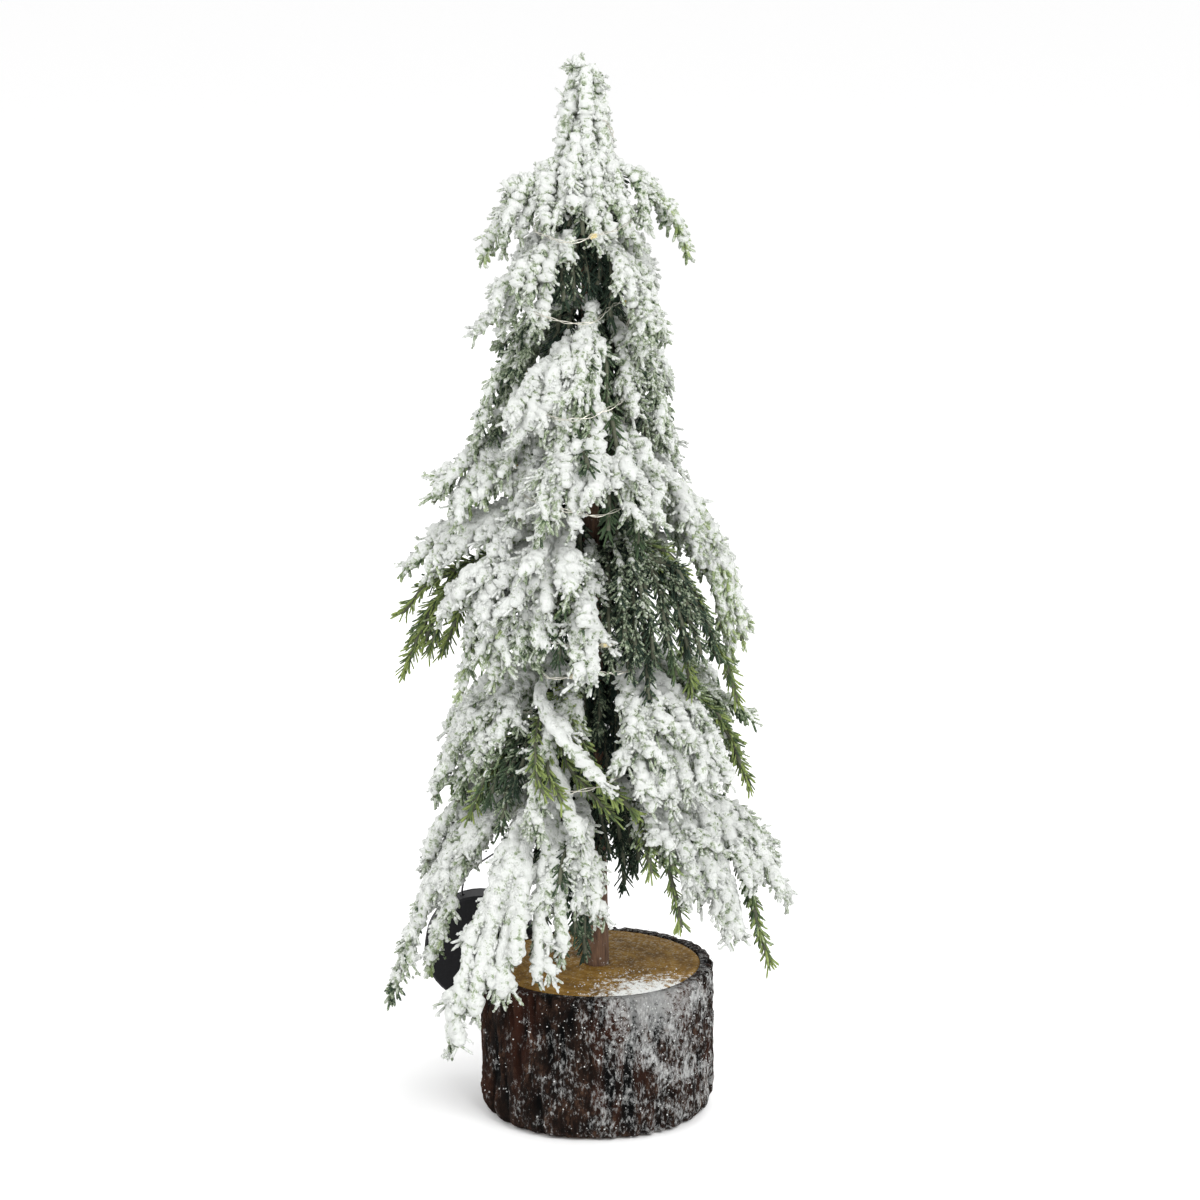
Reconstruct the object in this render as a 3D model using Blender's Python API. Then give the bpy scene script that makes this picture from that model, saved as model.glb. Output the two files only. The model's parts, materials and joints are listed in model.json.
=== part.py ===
# Artificial tabletop fir tree, 0.4 m tall.
# A sawn log with its bark on is the foot.  A taped wire trunk stands in a bore in the log.
# Forty-five wired boughs and a leader bend at the trunk, and a string of small lights winds
# down between them to a round coin-cell case that hangs behind the lowest boughs.
# Metres, +Z up, front of the tree towards -Y, log standing on Z = 0.

import math

import bmesh
import bpy
from mathutils import Vector

for old in list(bpy.data.objects):
    bpy.data.objects.remove(old, do_unlink=True)

MM = 0.001
GAP = 0.3 * MM

# Log
BASE_R = 43.5 * MM
BASE_H = 56.0 * MM
BARK_T = 4.2 * MM
BARK_ROUND = 7.0 * MM
BORE_DEPTH = 20.0 * MM
LOG_STEPS = 48

# Trunk, leaning a little to the tree's left
TREE_H = 400.0 * MM
LEADER_L = 34.0 * MM
TRUNK_R = 4.6 * MM
TRUNK_TOP_R = 1.9 * MM
TAPE_T = 1.6 * MM
TAPE_TOP_T = 0.7 * MM
LEAN = math.radians(0.75)

# Boughs: thickest depth, and breadth as a multiple of the depth
REACH = 79.0 * MM
BOUGH_D = 7.4 * MM
BROAD = 2.2
NARROW = 1.6
BOUGH_SHAPE = (0.22, 0.24, 0.32, 0.6, 0.9, 1.0, 0.95, 0.7, 0.3)
BOUGH_RISE = 2.0 * MM

# Light string
WIRE_R = 0.25 * MM
DROP_R = 1.3 * MM
DROP_L = 5.0 * MM
DROP_PITCH = 100.0 * MM
WIRE_STEP = 10.0 * MM
LEAD_R = 0.4 * MM

# Coin-cell case
CELL_R = 10.0 * MM
CELL_T = 3.2 * MM
CASE_WALL = 1.4 * MM
CASE_DEPTH = 11.5 * MM
LID_T = 1.5 * MM
CASE_X = -46.0 * MM
CASE_Z = 47.5 * MM
CASE_CLEAR = 2.3 * MM
SWITCH_TRAVEL = 2.5 * MM
SCREW_R = 0.6 * MM

# Sizes that follow
CROWN_H = TREE_H - BASE_H
TRUNK_H = CROWN_H - LEADER_L
WOOD_R = BASE_R - BARK_T - GAP
BORE_R = TRUNK_R + GAP
CASE_BAY_R = 2 * CELL_R + 2 * GAP
CASE_R = CASE_BAY_R + CASE_WALL
CASE_FRONT_Y = math.sqrt((BASE_R + CASE_CLEAR) ** 2 - (abs(CASE_X) - CASE_R) ** 2)

# Bough rows, top to bottom.  Each bough: bearing in degrees (270 is the front), height of its
# root above the log, reach from the trunk's axis, height of its tip, breadth.
# Lengths are in millimetres on a crown 344 high and a longest reach of 79.
ROWS = {
    "a": [(196, 306, 38, 272, BROAD), (347, 306, 36, 276, BROAD), (262, 296, 17, 274, NARROW),
          (90, 302, 33, 276, BROAD)],
    "b": [(218, 280, 41, 250, BROAD), (328, 278, 31, 245, BROAD), (45, 282, 36, 252, BROAD),
          (140, 284, 38, 252, BROAD)],
    "c": [(199, 253, 45, 205, BROAD), (236, 243, 44, 208, NARROW), (276, 256, 36, 208, NARROW),
          (334, 250, 32, 203, NARROW), (50, 256, 42, 212, BROAD), (128, 254, 44, 208, BROAD)],
    "d": [(195, 211, 58, 180, BROAD), (253, 220, 46, 180, BROAD), (300, 214, 46, 175, BROAD),
          (355, 208, 55, 115, NARROW), (60, 222, 52, 180, BROAD), (130, 220, 54, 178, BROAD)],
    "e": [(190, 182, 66, 157, BROAD), (180, 166, 73, 127, NARROW), (226, 176, 60, 119, BROAD),
          (268, 165, 55, 122, NARROW), (326, 169, 62, 117, BROAD), (28, 184, 60, 140, BROAD),
          (80, 178, 62, 134, BROAD), (135, 172, 64, 132, BROAD)],
    "f": [(205, 122, 66, 76, BROAD), (224, 106, 60, 62, NARROW), (252, 118, 48, 80, NARROW),
          (315, 124, 56, 77, BROAD), (342, 120, 62, 78, NARROW), (40, 126, 66, 78, BROAD),
          (95, 124, 66, 76, BROAD), (150, 119, 66, 76, BROAD)],
    "g": [(188, 86, 64, 43, NARROW), (207, 76, 73, 25, NARROW), (229, 80, 79, -13, BROAD),
          (256, 76, 50, 30, NARROW), (312, 76, 50, 28, BROAD), (346, 84, 72, 22, BROAD),
          (37, 79, 68, 30, BROAD), (92, 82, 70, 28, BROAD), (143, 77, 70, 30, BROAD)],
}
ROW_REACH = 79.0
ROW_CROWN = 344.0

# Route of the light string: bearing, distance from the trunk's axis and height above the log,
# in the same millimetres.  It runs in the space under one row, then drops between two roots.
STRING = [
    (318, 10, 321), (345, 10, 318), (20, 11, 313), (40, 12, 305), (60, 13, 295),
    (90, 17, 288), (125, 18, 287), (160, 18, 287), (196, 18, 286), (230, 21, 286),
    (262, 24, 286), (300, 20, 286), (340, 18, 286), (380, 18, 286), (415, 17, 286),
    (440, 14, 282), (453, 12, 272), (466, 14, 262),
    (490, 20, 258), (525, 21, 258), (560, 21, 258), (595, 22, 258), (630, 21, 258),
    (665, 19, 257), (688, 17, 256), (704, 16, 255), (716, 15, 252), (728, 13, 242), (740, 15, 230),
    (765, 24, 226), (800, 25, 226), (835, 25, 226), (870, 25, 226), (905, 26, 225),
    (940, 25, 222), (972, 22, 222), (1005, 21, 223), (1035, 19, 223), (1060, 17, 223),
    (1080, 17, 221),
    (1095, 15, 216), (1107, 13, 204), (1120, 17, 194),
    (1145, 27, 191), (1180, 28, 191), (1215, 28, 191), (1250, 28, 192), (1285, 28, 190),
    (1320, 28, 190), (1355, 27, 188), (1390, 27, 185), (1415, 22, 179), (1430, 18, 172),
    (1438, 15, 162), (1448, 18, 151),
    (1475, 27, 147), (1510, 28, 146), (1545, 28, 144), (1580, 29, 142), (1615, 29, 141),
    (1650, 29, 141), (1685, 28, 140), (1720, 28, 139), (1755, 28, 138), (1790, 28, 136),
    (1830, 29, 134), (1870, 29, 133), (1910, 29, 131), (1945, 29, 130), (1980, 29, 129),
    (2015, 29, 128), (2050, 29, 128), (2085, 29, 128), (2120, 27, 127), (2150, 20, 124),
    (2162, 14, 115), (2172, 14, 104), (2184, 19, 97),
    (2210, 29, 94), (2245, 30, 94), (2280, 30, 94), (2315, 30, 95), (2350, 30, 94),
    (2375, 30, 87), (2390, 30, 83), (2412, 30, 84), (2440, 30, 90), (2475, 30, 94),
    (2505, 27, 93), (2522, 19, 88), (2531, 15, 78), (2540, 16, 66),
    (2565, 21, 58), (2600, 22, 56), (2635, 22, 54), (2665, 24, 52),
]


def material(name, colour, roughness, metallic=0.0):
    made = bpy.data.materials.new(name)
    made.use_nodes = True
    shader = made.node_tree.nodes["Principled BSDF"]
    shader.inputs["Base Color"].default_value = (*colour, 1.0)
    shader.inputs["Roughness"].default_value = roughness
    shader.inputs["Metallic"].default_value = metallic
    return made


MAT_WOOD = material("sawn_wood", (0.55, 0.36, 0.15), 0.75)
MAT_BARK = material("bark", (0.13, 0.07, 0.05), 0.9)
MAT_ROD = material("steel_wire", (0.45, 0.44, 0.42), 0.45, 1.0)
MAT_TAPE = material("paper_tape", (0.24, 0.15, 0.09), 0.85)
MAT_NEEDLE = material("flocked_needles", (0.62, 0.68, 0.58), 0.9)
MAT_WIRE = material("light_wire", (0.72, 0.70, 0.64), 0.3, 1.0)
MAT_LEAD = material("lead_wire", (0.05, 0.05, 0.05), 0.5)
MAT_CASE = material("black_plastic", (0.015, 0.015, 0.016), 0.4)
MAT_CELL = material("cell_steel", (0.62, 0.62, 0.63), 0.25, 1.0)
MAT_BOARD = material("circuit_board", (0.03, 0.16, 0.07), 0.5)


def put(name, data, finish, place=(0, 0, 0), turn=(0, 0, 0)):
    thing = bpy.data.objects.new(name, data)
    bpy.context.scene.collection.objects.link(thing)
    thing.location = place
    thing.rotation_euler = turn
    data.materials.append(finish)
    return thing


def smooth(thing, angle=40):
    thing.data.shade_smooth()
    thing.data.set_sharp_from_angle(angle=math.radians(angle))


def lathe(name, profile, steps, closed):
    """Turn an outline of (radius, height) pairs about Z.  A closed outline makes a ring."""
    mesh = bpy.data.meshes.new(name)
    bm = bmesh.new()
    verts = [bm.verts.new((r, 0, z)) for r, z in profile]
    edges = [bm.edges.new(pair) for pair in zip(verts, verts[1:])]
    if closed:
        edges.append(bm.edges.new((verts[-1], verts[0])))
    bmesh.ops.spin(bm, geom=verts + edges, cent=(0, 0, 0), axis=(0, 0, 1),
                   angle=2 * math.pi, steps=steps, use_merge=True)
    bmesh.ops.remove_doubles(bm, verts=bm.verts, dist=1e-7)
    bmesh.ops.recalc_face_normals(bm, faces=bm.faces)
    bm.to_mesh(mesh)
    bm.free()
    return mesh


def disc(radius, low, high, ease):
    return [(0, low), (radius - ease, low), (radius, low + ease), (radius, high - ease),
            (radius - ease, high), (0, high)]


# Log -------------------------------------------------------------------------------------

def log_outline(mesh):
    """Ease a round turning into the uneven outline of a real stem; the bore stays round."""
    for vert in mesh.vertices:
        radius = math.hypot(vert.co.x, vert.co.y)
        if radius > 2 * BORE_R:
            bearing = math.atan2(vert.co.y, vert.co.x)
            swell = 1 + 0.012 * math.sin(2 * bearing + 0.7) + 0.008 * math.sin(5 * bearing)
            vert.co.x *= swell
            vert.co.y *= swell


FOOT_R = WOOD_R - 1.0 * MM
wood = lathe("base_wood", [(0, 0), (FOOT_R, 0), (WOOD_R, 1.0 * MM), (WOOD_R, BASE_H),
                           (2.4 * BORE_R, BASE_H), (BORE_R, BASE_H),
                           (BORE_R, BASE_H - BORE_DEPTH), (0, BASE_H - BORE_DEPTH)],
             LOG_STEPS, False)
log_outline(wood)
smooth(put("base_wood", wood, MAT_WOOD))

bark_in = WOOD_R + GAP
bark_profile = [(bark_in, BASE_H)]
bark_profile.append((bark_in, 1.2 * MM))
bark_profile.append((bark_in + 0.5 * MM, 0.4 * MM))
ROUND_STEPS = 4
for step in range(ROUND_STEPS + 1):
    turn_down = 0.5 * math.pi * step / ROUND_STEPS
    bark_profile.append((BASE_R - BARK_ROUND * 0.45 * (1 - math.sin(turn_down)),
                         0.4 * MM + BARK_ROUND * (1 - math.cos(turn_down))))
bark_profile.append((BASE_R, BASE_H - 1.4 * MM))
bark_profile.append((BASE_R - 1.4 * MM, BASE_H))
bark = lathe("base_bark", bark_profile, LOG_STEPS, True)
log_outline(bark)
smooth(put("base_bark", bark, MAT_BARK))

# Trunk -----------------------------------------------------------------------------------

FOOT_Z = -BORE_DEPTH + GAP
TRUNK_STEPS = 16


def trunk_radius(height):
    return TRUNK_R + (TRUNK_TOP_R - TRUNK_R) * max(height, 0) / TRUNK_H


def trunk_point(height):
    return Vector((-math.tan(LEAN) * height, 0, BASE_H + height))


def rod_radius(height):
    tape = TAPE_T + (TAPE_TOP_T - TAPE_T) * max(height, 0) / TRUNK_H
    return trunk_radius(height) - tape


rod = lathe("trunk_rod", [(0, FOOT_Z), (rod_radius(0), FOOT_Z), (rod_radius(0), 0),
                          (rod_radius(TRUNK_H), TRUNK_H), (0, TRUNK_H)], TRUNK_STEPS, False)
smooth(put("trunk_rod", rod, MAT_ROD, (0, 0, BASE_H), (0, -LEAN, 0)))

TAPE_TOP = TRUNK_H - 1.0 * MM
tape = lathe("trunk_tape", [(rod_radius(0) + GAP, FOOT_Z), (TRUNK_R, FOOT_Z), (TRUNK_R, 0),
                            (trunk_radius(TAPE_TOP), TAPE_TOP),
                            (rod_radius(TAPE_TOP) + GAP, TAPE_TOP),
                            (rod_radius(0) + GAP, 0)], TRUNK_STEPS, True)
smooth(put("trunk_tape", tape, MAT_TAPE, (0, 0, BASE_H), (0, -LEAN, 0)))

# Boughs ----------------------------------------------------------------------------------


def tube(name, points, radii, depth, facets):
    """A closed tube through the points, its radius following the list."""
    curve = bpy.data.curves.new(name, "CURVE")
    curve.dimensions = "3D"
    curve.bevel_depth = depth
    curve.bevel_resolution = facets
    curve.use_fill_caps = True
    line = curve.splines.new("POLY")
    line.points.add(len(points) - 1)
    for spot, at, radius in zip(line.points, points, radii):
        spot.co = (*at, 1)
        spot.radius = radius
    line.use_smooth = True
    return curve


def bough(name, bearing, root, reach, tip, breadth):
    """One bough: a wired stem widening to a drooping spray.  Its origin is the bend point."""
    up = CROWN_H / ROW_CROWN
    out = REACH / ROW_REACH
    height = root * up
    start = trunk_radius(height) + GAP
    length = reach * out - start
    drop = tip * up - height
    points = []
    for step in range(len(BOUGH_SHAPE)):
        t = step / (len(BOUGH_SHAPE) - 1)
        along = t * (1 - t) * length + t * t * length
        points.append((along, 0, 2 * t * (1 - t) * BOUGH_RISE + t * t * drop))
    turn = math.radians(bearing)
    place = trunk_point(height) + Vector((math.cos(turn), math.sin(turn), 0)) * start
    spray = put(name, tube(name, points, BOUGH_SHAPE, BOUGH_D / 2, 2), MAT_NEEDLE,
                place, (0, 0, turn))
    spray.scale.y = breadth


for row, sprays in ROWS.items():
    for number, spray in enumerate(sprays, 1):
        bough(f"bough_{row}{number}", *spray)

LEADER_SHAPE = (0.3, 0.55, 1.0, 1.0, 0.8, 0.55, 0.4, 0.2)
leader_points = []
for step in range(len(LEADER_SHAPE)):
    leader_points.append((0, 0, (LEADER_L - GAP) * step / (len(LEADER_SHAPE) - 1)))
put("leader", tube("leader", leader_points, LEADER_SHAPE, 6.4 * MM, 2), MAT_NEEDLE,
    trunk_point(TRUNK_H + GAP), (0, -LEAN, 0))

# Light string ----------------------------------------------------------------------------


def along_route(route, spacing):
    """Even steps along a smooth curve through the route's points."""
    fine = []
    for index in range(len(route) - 1):
        before = route[max(index - 1, 0)]
        here, there = route[index], route[index + 1]
        after = route[min(index + 2, len(route) - 1)]
        for step in range(12):
            t = step / 12
            fine.append(0.5 * (2 * here + (there - before) * t
                               + (2 * before - 5 * here + 4 * there - after) * t * t
                               + (3 * here - before - 3 * there + after) * t ** 3))
    fine.append(route[-1])
    marks = [0.0]
    for one, two in zip(fine, fine[1:]):
        marks.append(marks[-1] + (two - one).length)
    total = marks[-1]

    def at(distance):
        distance = min(max(distance, 0), total)
        low = max(i for i in range(len(fine) - 1) if marks[i] <= distance)
        share = (distance - marks[low]) / (marks[low + 1] - marks[low])
        return fine[low].lerp(fine[low + 1], share)

    count = max(2, round(total / spacing))
    return total, at, [total * i / count for i in range(count + 1)]


string_route = []
for bearing, away, height in STRING:
    turn = math.radians(bearing)
    away *= REACH / ROW_REACH
    height *= CROWN_H / ROW_CROWN
    string_route.append(trunk_point(height)
                        + Vector((math.cos(turn) * away, math.sin(turn) * away, 0)))

string_l, string_at, string_marks = along_route(string_route, WIRE_STEP)
drops = []
next_drop = 0.3 * DROP_PITCH
while next_drop < string_l - DROP_L:
    drops.append(next_drop)
    next_drop += DROP_PITCH
stops = [(mark, 1.0) for mark in string_marks
         if all(abs(mark - drop) > 0.9 * DROP_L for drop in drops)]
for drop in drops:
    for share, size in ((-0.5, WIRE_R), (-0.22, DROP_R), (0.22, DROP_R), (0.5, WIRE_R)):
        stops.append((drop + share * DROP_L, size / WIRE_R))
stops.sort()
put("light_string", tube("light_string", [string_at(mark) for mark, size in stops],
                         [size for mark, size in stops], WIRE_R, 2), MAT_WIRE)

# Coin-cell case: stands on edge behind the lowest boughs, its closed face to the front ----

CASE_TURN = (math.pi / 2, 0, 0)
CASE_AT = Vector((CASE_X, CASE_FRONT_Y + CASE_DEPTH, CASE_Z))
CELL_X = CELL_R + GAP / 2
BOSS_R = 2.4 * MM
BOSS_Y = CASE_BAY_R - BOSS_R - 4.2 * MM
SHELL_LOW = LID_T + GAP
BAY_HIGH = CASE_DEPTH - CASE_WALL
LEAD_HOLE_R = LEAD_R + 2 * GAP
LEAD_HOLE_X = -7.0 * MM
SWITCH_W = 3.2 * MM
SWITCH_D = 2.4 * MM
SWITCH_MID = 0.5 * (SHELL_LOW + BAY_HIGH)


def block(name, low, high):
    mesh = bpy.data.meshes.new(name)
    bm = bmesh.new()
    bmesh.ops.create_cube(bm, size=1)
    size = Vector(high) - Vector(low)
    bmesh.ops.scale(bm, vec=size, verts=bm.verts)
    bmesh.ops.translate(bm, vec=(Vector(low) + Vector(high)) / 2, verts=bm.verts)
    bm.to_mesh(mesh)
    bm.free()
    return mesh


def rod_mesh(name, radius, low, high, steps):
    return lathe(name, [(0, low), (radius, low), (radius, high), (0, high)], steps, False)


def tool(name, mesh, place, turn):
    """A cutter or an added lump that only shapes another piece."""
    helper = bpy.data.objects.new(name, mesh)
    bpy.context.scene.collection.objects.link(helper)
    helper.location = place
    helper.rotation_euler = turn
    helper.hide_render = True
    helper.display_type = "WIRE"
    return helper


def shape(target, helper, operation):
    step = target.modifiers.new(helper.name, "BOOLEAN")
    step.operation = operation
    step.solver = "EXACT"
    step.object = helper


def case_place(x, y, z):
    """A point of the case, given across, up and towards its closed face."""
    return CASE_AT + Vector((x, -z, y))


shell = put("case_shell", lathe("case_shell", [
    (0, CASE_DEPTH), (CASE_R - 1.0 * MM, CASE_DEPTH), (CASE_R, CASE_DEPTH - 1.0 * MM),
    (CASE_R, SHELL_LOW), (CASE_BAY_R, SHELL_LOW), (CASE_BAY_R, BAY_HIGH), (0, BAY_HIGH)],
    40, False), MAT_CASE, CASE_AT, CASE_TURN)
boss = tool("boss_form", rod_mesh("boss_form", BOSS_R, SHELL_LOW + GAP, BAY_HIGH + 0.4 * MM, 16),
            case_place(0, BOSS_Y, 0), CASE_TURN)
shape(shell, boss, "UNION")
boss_bore = tool("boss_bore", rod_mesh("boss_bore", SCREW_R + GAP, 0, 0.65 * BAY_HIGH, 12),
                 case_place(0, BOSS_Y, 0), CASE_TURN)
shape(shell, boss_bore, "DIFFERENCE")
slot_half = SWITCH_W / 2 + SWITCH_TRAVEL / 2 + 2 * GAP
slot = tool("switch_slot", block("switch_slot",
                                 (-slot_half, -CASE_R - 2 * MM, SWITCH_MID - SWITCH_D / 2 - GAP),
                                 (slot_half, -CASE_BAY_R + 2 * MM, SWITCH_MID + SWITCH_D / 2 + GAP)),
            CASE_AT, CASE_TURN)
shape(shell, slot, "DIFFERENCE")
lead_hole = tool("lead_hole", rod_mesh("lead_hole", LEAD_HOLE_R, CASE_BAY_R - 6 * MM,
                                       CASE_R + 2 * MM, 12),
                 case_place(LEAD_HOLE_X, 0, SWITCH_MID), (0, 0, 0))
shape(shell, lead_hole, "DIFFERENCE")
smooth(shell)

lid = put("case_lid", lathe("case_lid", disc(CASE_R, 0, LID_T, 0.4 * MM), 40, False),
          MAT_CASE, CASE_AT, CASE_TURN)
HEAD_R = 1.6 * MM
HEAD_T = 0.5 * MM
head_seat = tool("head_seat", lathe("head_seat", [
    (0, -1 * MM), (HEAD_R + GAP, -1 * MM), (HEAD_R + GAP, HEAD_T + GAP),
    (SCREW_R + GAP, HEAD_T + GAP), (SCREW_R + GAP, LID_T + 1 * MM), (0, LID_T + 1 * MM)],
    16, False), case_place(0, BOSS_Y, 0), CASE_TURN)
shape(lid, head_seat, "DIFFERENCE")
smooth(lid)

SCREW_L = 0.5 * BAY_HIGH
screw = put("lid_screw", lathe("lid_screw", [
    (0, 0), (HEAD_R, 0), (HEAD_R, HEAD_T), (SCREW_R, HEAD_T), (SCREW_R, SCREW_L), (0, SCREW_L)],
    12, False), MAT_ROD, case_place(0, BOSS_Y, 0), CASE_TURN)
smooth(screw)

CELL_LOW = SHELL_LOW + 1.4 * MM
for side, across in (("left", -CELL_X), ("right", CELL_X)):
    cell = put(f"cell_{side}", lathe(f"cell_{side}", disc(CELL_R, CELL_LOW, CELL_LOW + CELL_T,
                                                          0.4 * MM), 28, False),
               MAT_CELL, case_place(across, 0, 0), CASE_TURN)
    smooth(cell)

BOARD_Y = CASE_BAY_R - 3.6 * MM
put("case_board", block("case_board", (-4.4 * MM, -BOARD_Y, SWITCH_MID - 0.5 * MM),
                        (4.4 * MM, -BOARD_Y + 4.8 * MM, SWITCH_MID + 0.5 * MM)),
    MAT_BOARD, CASE_AT, CASE_TURN)

# Switch: a foot inside the wall and a thumb ridge through the slot, stored at "off"
SWITCH_AT = case_place(-SWITCH_TRAVEL / 2, 0, SWITCH_MID)
KNOB_OUT = 1.4 * MM
FOOT_OUT = CASE_BAY_R - 0.9 * MM
FOOT_T = 1.4 * MM
slider = put("switch_slider", block("switch_slider",
                                    (-SWITCH_W / 2, -CASE_R - KNOB_OUT, -SWITCH_D / 2),
                                    (SWITCH_W / 2, -FOOT_OUT + FOOT_T / 2, SWITCH_D / 2)),
             MAT_CASE, SWITCH_AT, CASE_TURN)
foot = tool("slider_foot", block("slider_foot",
                                 (-SWITCH_W / 2 - 1 * MM, -FOOT_OUT, -SWITCH_D / 2 - 1 * MM),
                                 (SWITCH_W / 2 + 1 * MM, -FOOT_OUT + FOOT_T, SWITCH_D / 2 + 1 * MM)),
            SWITCH_AT, CASE_TURN)
shape(slider, foot, "UNION")
grip = slider.modifiers.new("grip", "BEVEL")
grip.width = 0.3 * MM
grip.segments = 2
grip.limit_method = "ANGLE"

# Lead: hangs from the last turn of the string down to the case ---------------------------

string_end = string_route[-1]
hole_top = case_place(LEAD_HOLE_X, 0, SWITCH_MID)
lead_route = [
    string_end + Vector((-1.0, 1.2, -0.8)) * MM,
    string_end + Vector((-6, 9, -6)) * MM,
    string_end + Vector((-16, 18, -16)) * MM,
    Vector((hole_top.x + 3 * MM, hole_top.y, CASE_Z + CASE_R + 9 * MM)),
    Vector((hole_top.x, hole_top.y, CASE_Z + CASE_R + 2 * MM)),
    Vector((hole_top.x, hole_top.y, CASE_Z + CASE_BAY_R - 2.2 * MM)),
]
lead_l, lead_at, lead_marks = along_route(lead_route, 2.4 * MM)
put("light_lead", tube("light_lead", [lead_at(mark) for mark in lead_marks],
                       [1.0] * len(lead_marks), LEAD_R, 2), MAT_LEAD)
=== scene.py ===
import json
import math
import random

import bmesh
import bpy
from mathutils import Matrix, Vector, noise


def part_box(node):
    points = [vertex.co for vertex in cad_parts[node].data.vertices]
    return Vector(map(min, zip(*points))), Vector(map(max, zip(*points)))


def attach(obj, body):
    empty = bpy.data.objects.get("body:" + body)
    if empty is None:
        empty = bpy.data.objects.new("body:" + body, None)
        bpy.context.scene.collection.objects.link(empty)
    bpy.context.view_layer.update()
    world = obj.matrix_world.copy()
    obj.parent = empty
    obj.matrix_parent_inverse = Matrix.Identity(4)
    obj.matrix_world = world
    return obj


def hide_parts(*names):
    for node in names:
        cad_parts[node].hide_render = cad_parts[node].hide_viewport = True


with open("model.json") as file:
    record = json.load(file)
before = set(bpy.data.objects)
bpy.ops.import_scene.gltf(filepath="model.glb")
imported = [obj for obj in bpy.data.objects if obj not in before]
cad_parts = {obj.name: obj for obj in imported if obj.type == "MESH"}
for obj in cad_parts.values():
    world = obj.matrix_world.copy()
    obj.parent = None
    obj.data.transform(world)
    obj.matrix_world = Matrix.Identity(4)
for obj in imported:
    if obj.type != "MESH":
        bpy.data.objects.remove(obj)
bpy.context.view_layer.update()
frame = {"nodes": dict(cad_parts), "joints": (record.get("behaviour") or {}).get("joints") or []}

MM = 0.001


# Studio ----------------------------------------------------------------------------------
# A pale floor under even daylight, and a long lens that looks slightly down on the tree.

def add_node(tree, kind, links=None, **settings):
    """Add a shader node; links gives each input a number, a colour or another node's output."""
    made = tree.nodes.new(kind)
    for name, value in settings.items():
        setattr(made, name, value)
    for socket, value in (links or {}).items():
        if isinstance(value, bpy.types.NodeSocket):
            tree.links.new(value, made.inputs[socket])
        else:
            made.inputs[socket].default_value = value
    return made


def new_finish(name, roughness, metallic=0.0):
    made = bpy.data.materials.new(name)
    made.use_nodes = True
    shader = made.node_tree.nodes["Principled BSDF"]
    shader.inputs["Roughness"].default_value = roughness
    shader.inputs["Metallic"].default_value = metallic
    return made, made.node_tree, shader


camera = bpy.data.objects.new("camera", bpy.data.cameras.new("camera"))
bpy.context.scene.collection.objects.link(camera)
camera.data.lens = 107.5
camera.data.sensor_width = 36.0
camera.data.clip_start = 0.01
camera.location = (0.0011, -1.3, 0.508)
camera.rotation_euler = (math.radians(90 - 13.4), 0, 0)
bpy.context.scene.camera = camera

floor_bm = bmesh.new()
bmesh.ops.create_grid(floor_bm, x_segments=1, y_segments=1, size=60.0)
bmesh.ops.translate(floor_bm, vec=(0, 0, -0.0003), verts=floor_bm.verts)
floor_mesh = bpy.data.meshes.new("floor")
floor_bm.to_mesh(floor_mesh)
floor_bm.free()
floor = bpy.data.objects.new("floor", floor_mesh)
bpy.context.scene.collection.objects.link(floor)
paper, _, paper_shader = new_finish("white_paper", 0.9)
paper_shader.inputs["Base Color"].default_value = (0.98, 0.98, 0.98, 1)
floor_mesh.materials.append(paper)

world = bpy.data.worlds.new("daylight")
bpy.context.scene.world = world
world.use_nodes = True
world.node_tree.nodes["Background"].inputs["Color"].default_value = (1, 1, 1, 1)
world.node_tree.nodes["Background"].inputs["Strength"].default_value = 1.0

SOFT_LIGHTS = (
    ("key", (0.9, -1.3, 1.5), 1.0, 26.0),
    ("fill", (-1.3, -0.9, 0.9), 1.2, 8.0),
    ("back", (0.3, 1.5, 1.2), 1.2, 10.0),
)
for name, place, size, power in SOFT_LIGHTS:
    lamp = bpy.data.lights.new(name, "AREA")
    lamp.size = size
    lamp.energy = power
    holder = bpy.data.objects.new(name, lamp)
    bpy.context.scene.collection.objects.link(holder)
    holder.location = place
    holder.rotation_euler = (Vector((0, 0, 0.2)) - Vector(place)).to_track_quat("-Z", "Y").to_euler()
bpy.context.scene.view_settings.view_transform = "Standard"


# Lead ------------------------------------------------------------------------------------
# Thin black twin flex, limp, that hangs from the last turn of the light string down into the
# coin-cell case.  It is soldered at both ends.

LEAD_D = 0.0008
LEAD_ROUTE = [Vector(point) for point in (
    (-0.02134, 0.01497, 0.10720), (-0.02634, 0.02277, 0.10200), (-0.03634, 0.03177, 0.09200),
    (-0.05000, 0.04456, 0.07850), (-0.05300, 0.04456, 0.07150), (-0.05300, 0.04456, 0.06590))]


def along_route(route, spacing):
    """Even steps along a smooth curve through the route's points."""
    fine = []
    for index in range(len(route) - 1):
        before = route[max(index - 1, 0)]
        here, there = route[index], route[index + 1]
        after = route[min(index + 2, len(route) - 1)]
        for step in range(12):
            t = step / 12
            fine.append(0.5 * (2 * here + (there - before) * t
                               + (2 * before - 5 * here + 4 * there - after) * t * t
                               + (3 * here - before - 3 * there + after) * t ** 3))
    fine.append(route[-1])
    marks = [0.0]
    for one, two in zip(fine, fine[1:]):
        marks.append(marks[-1] + (two - one).length)
    count = max(2, round(marks[-1] / spacing))
    steps, low = [], 0
    for index in range(count + 1):
        wanted = marks[-1] * index / count
        while low < len(fine) - 2 and marks[low + 1] < wanted:
            low += 1
        share = (wanted - marks[low]) / (marks[low + 1] - marks[low])
        steps.append(fine[low].lerp(fine[low + 1], share))
    return steps, marks[-1]


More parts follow.
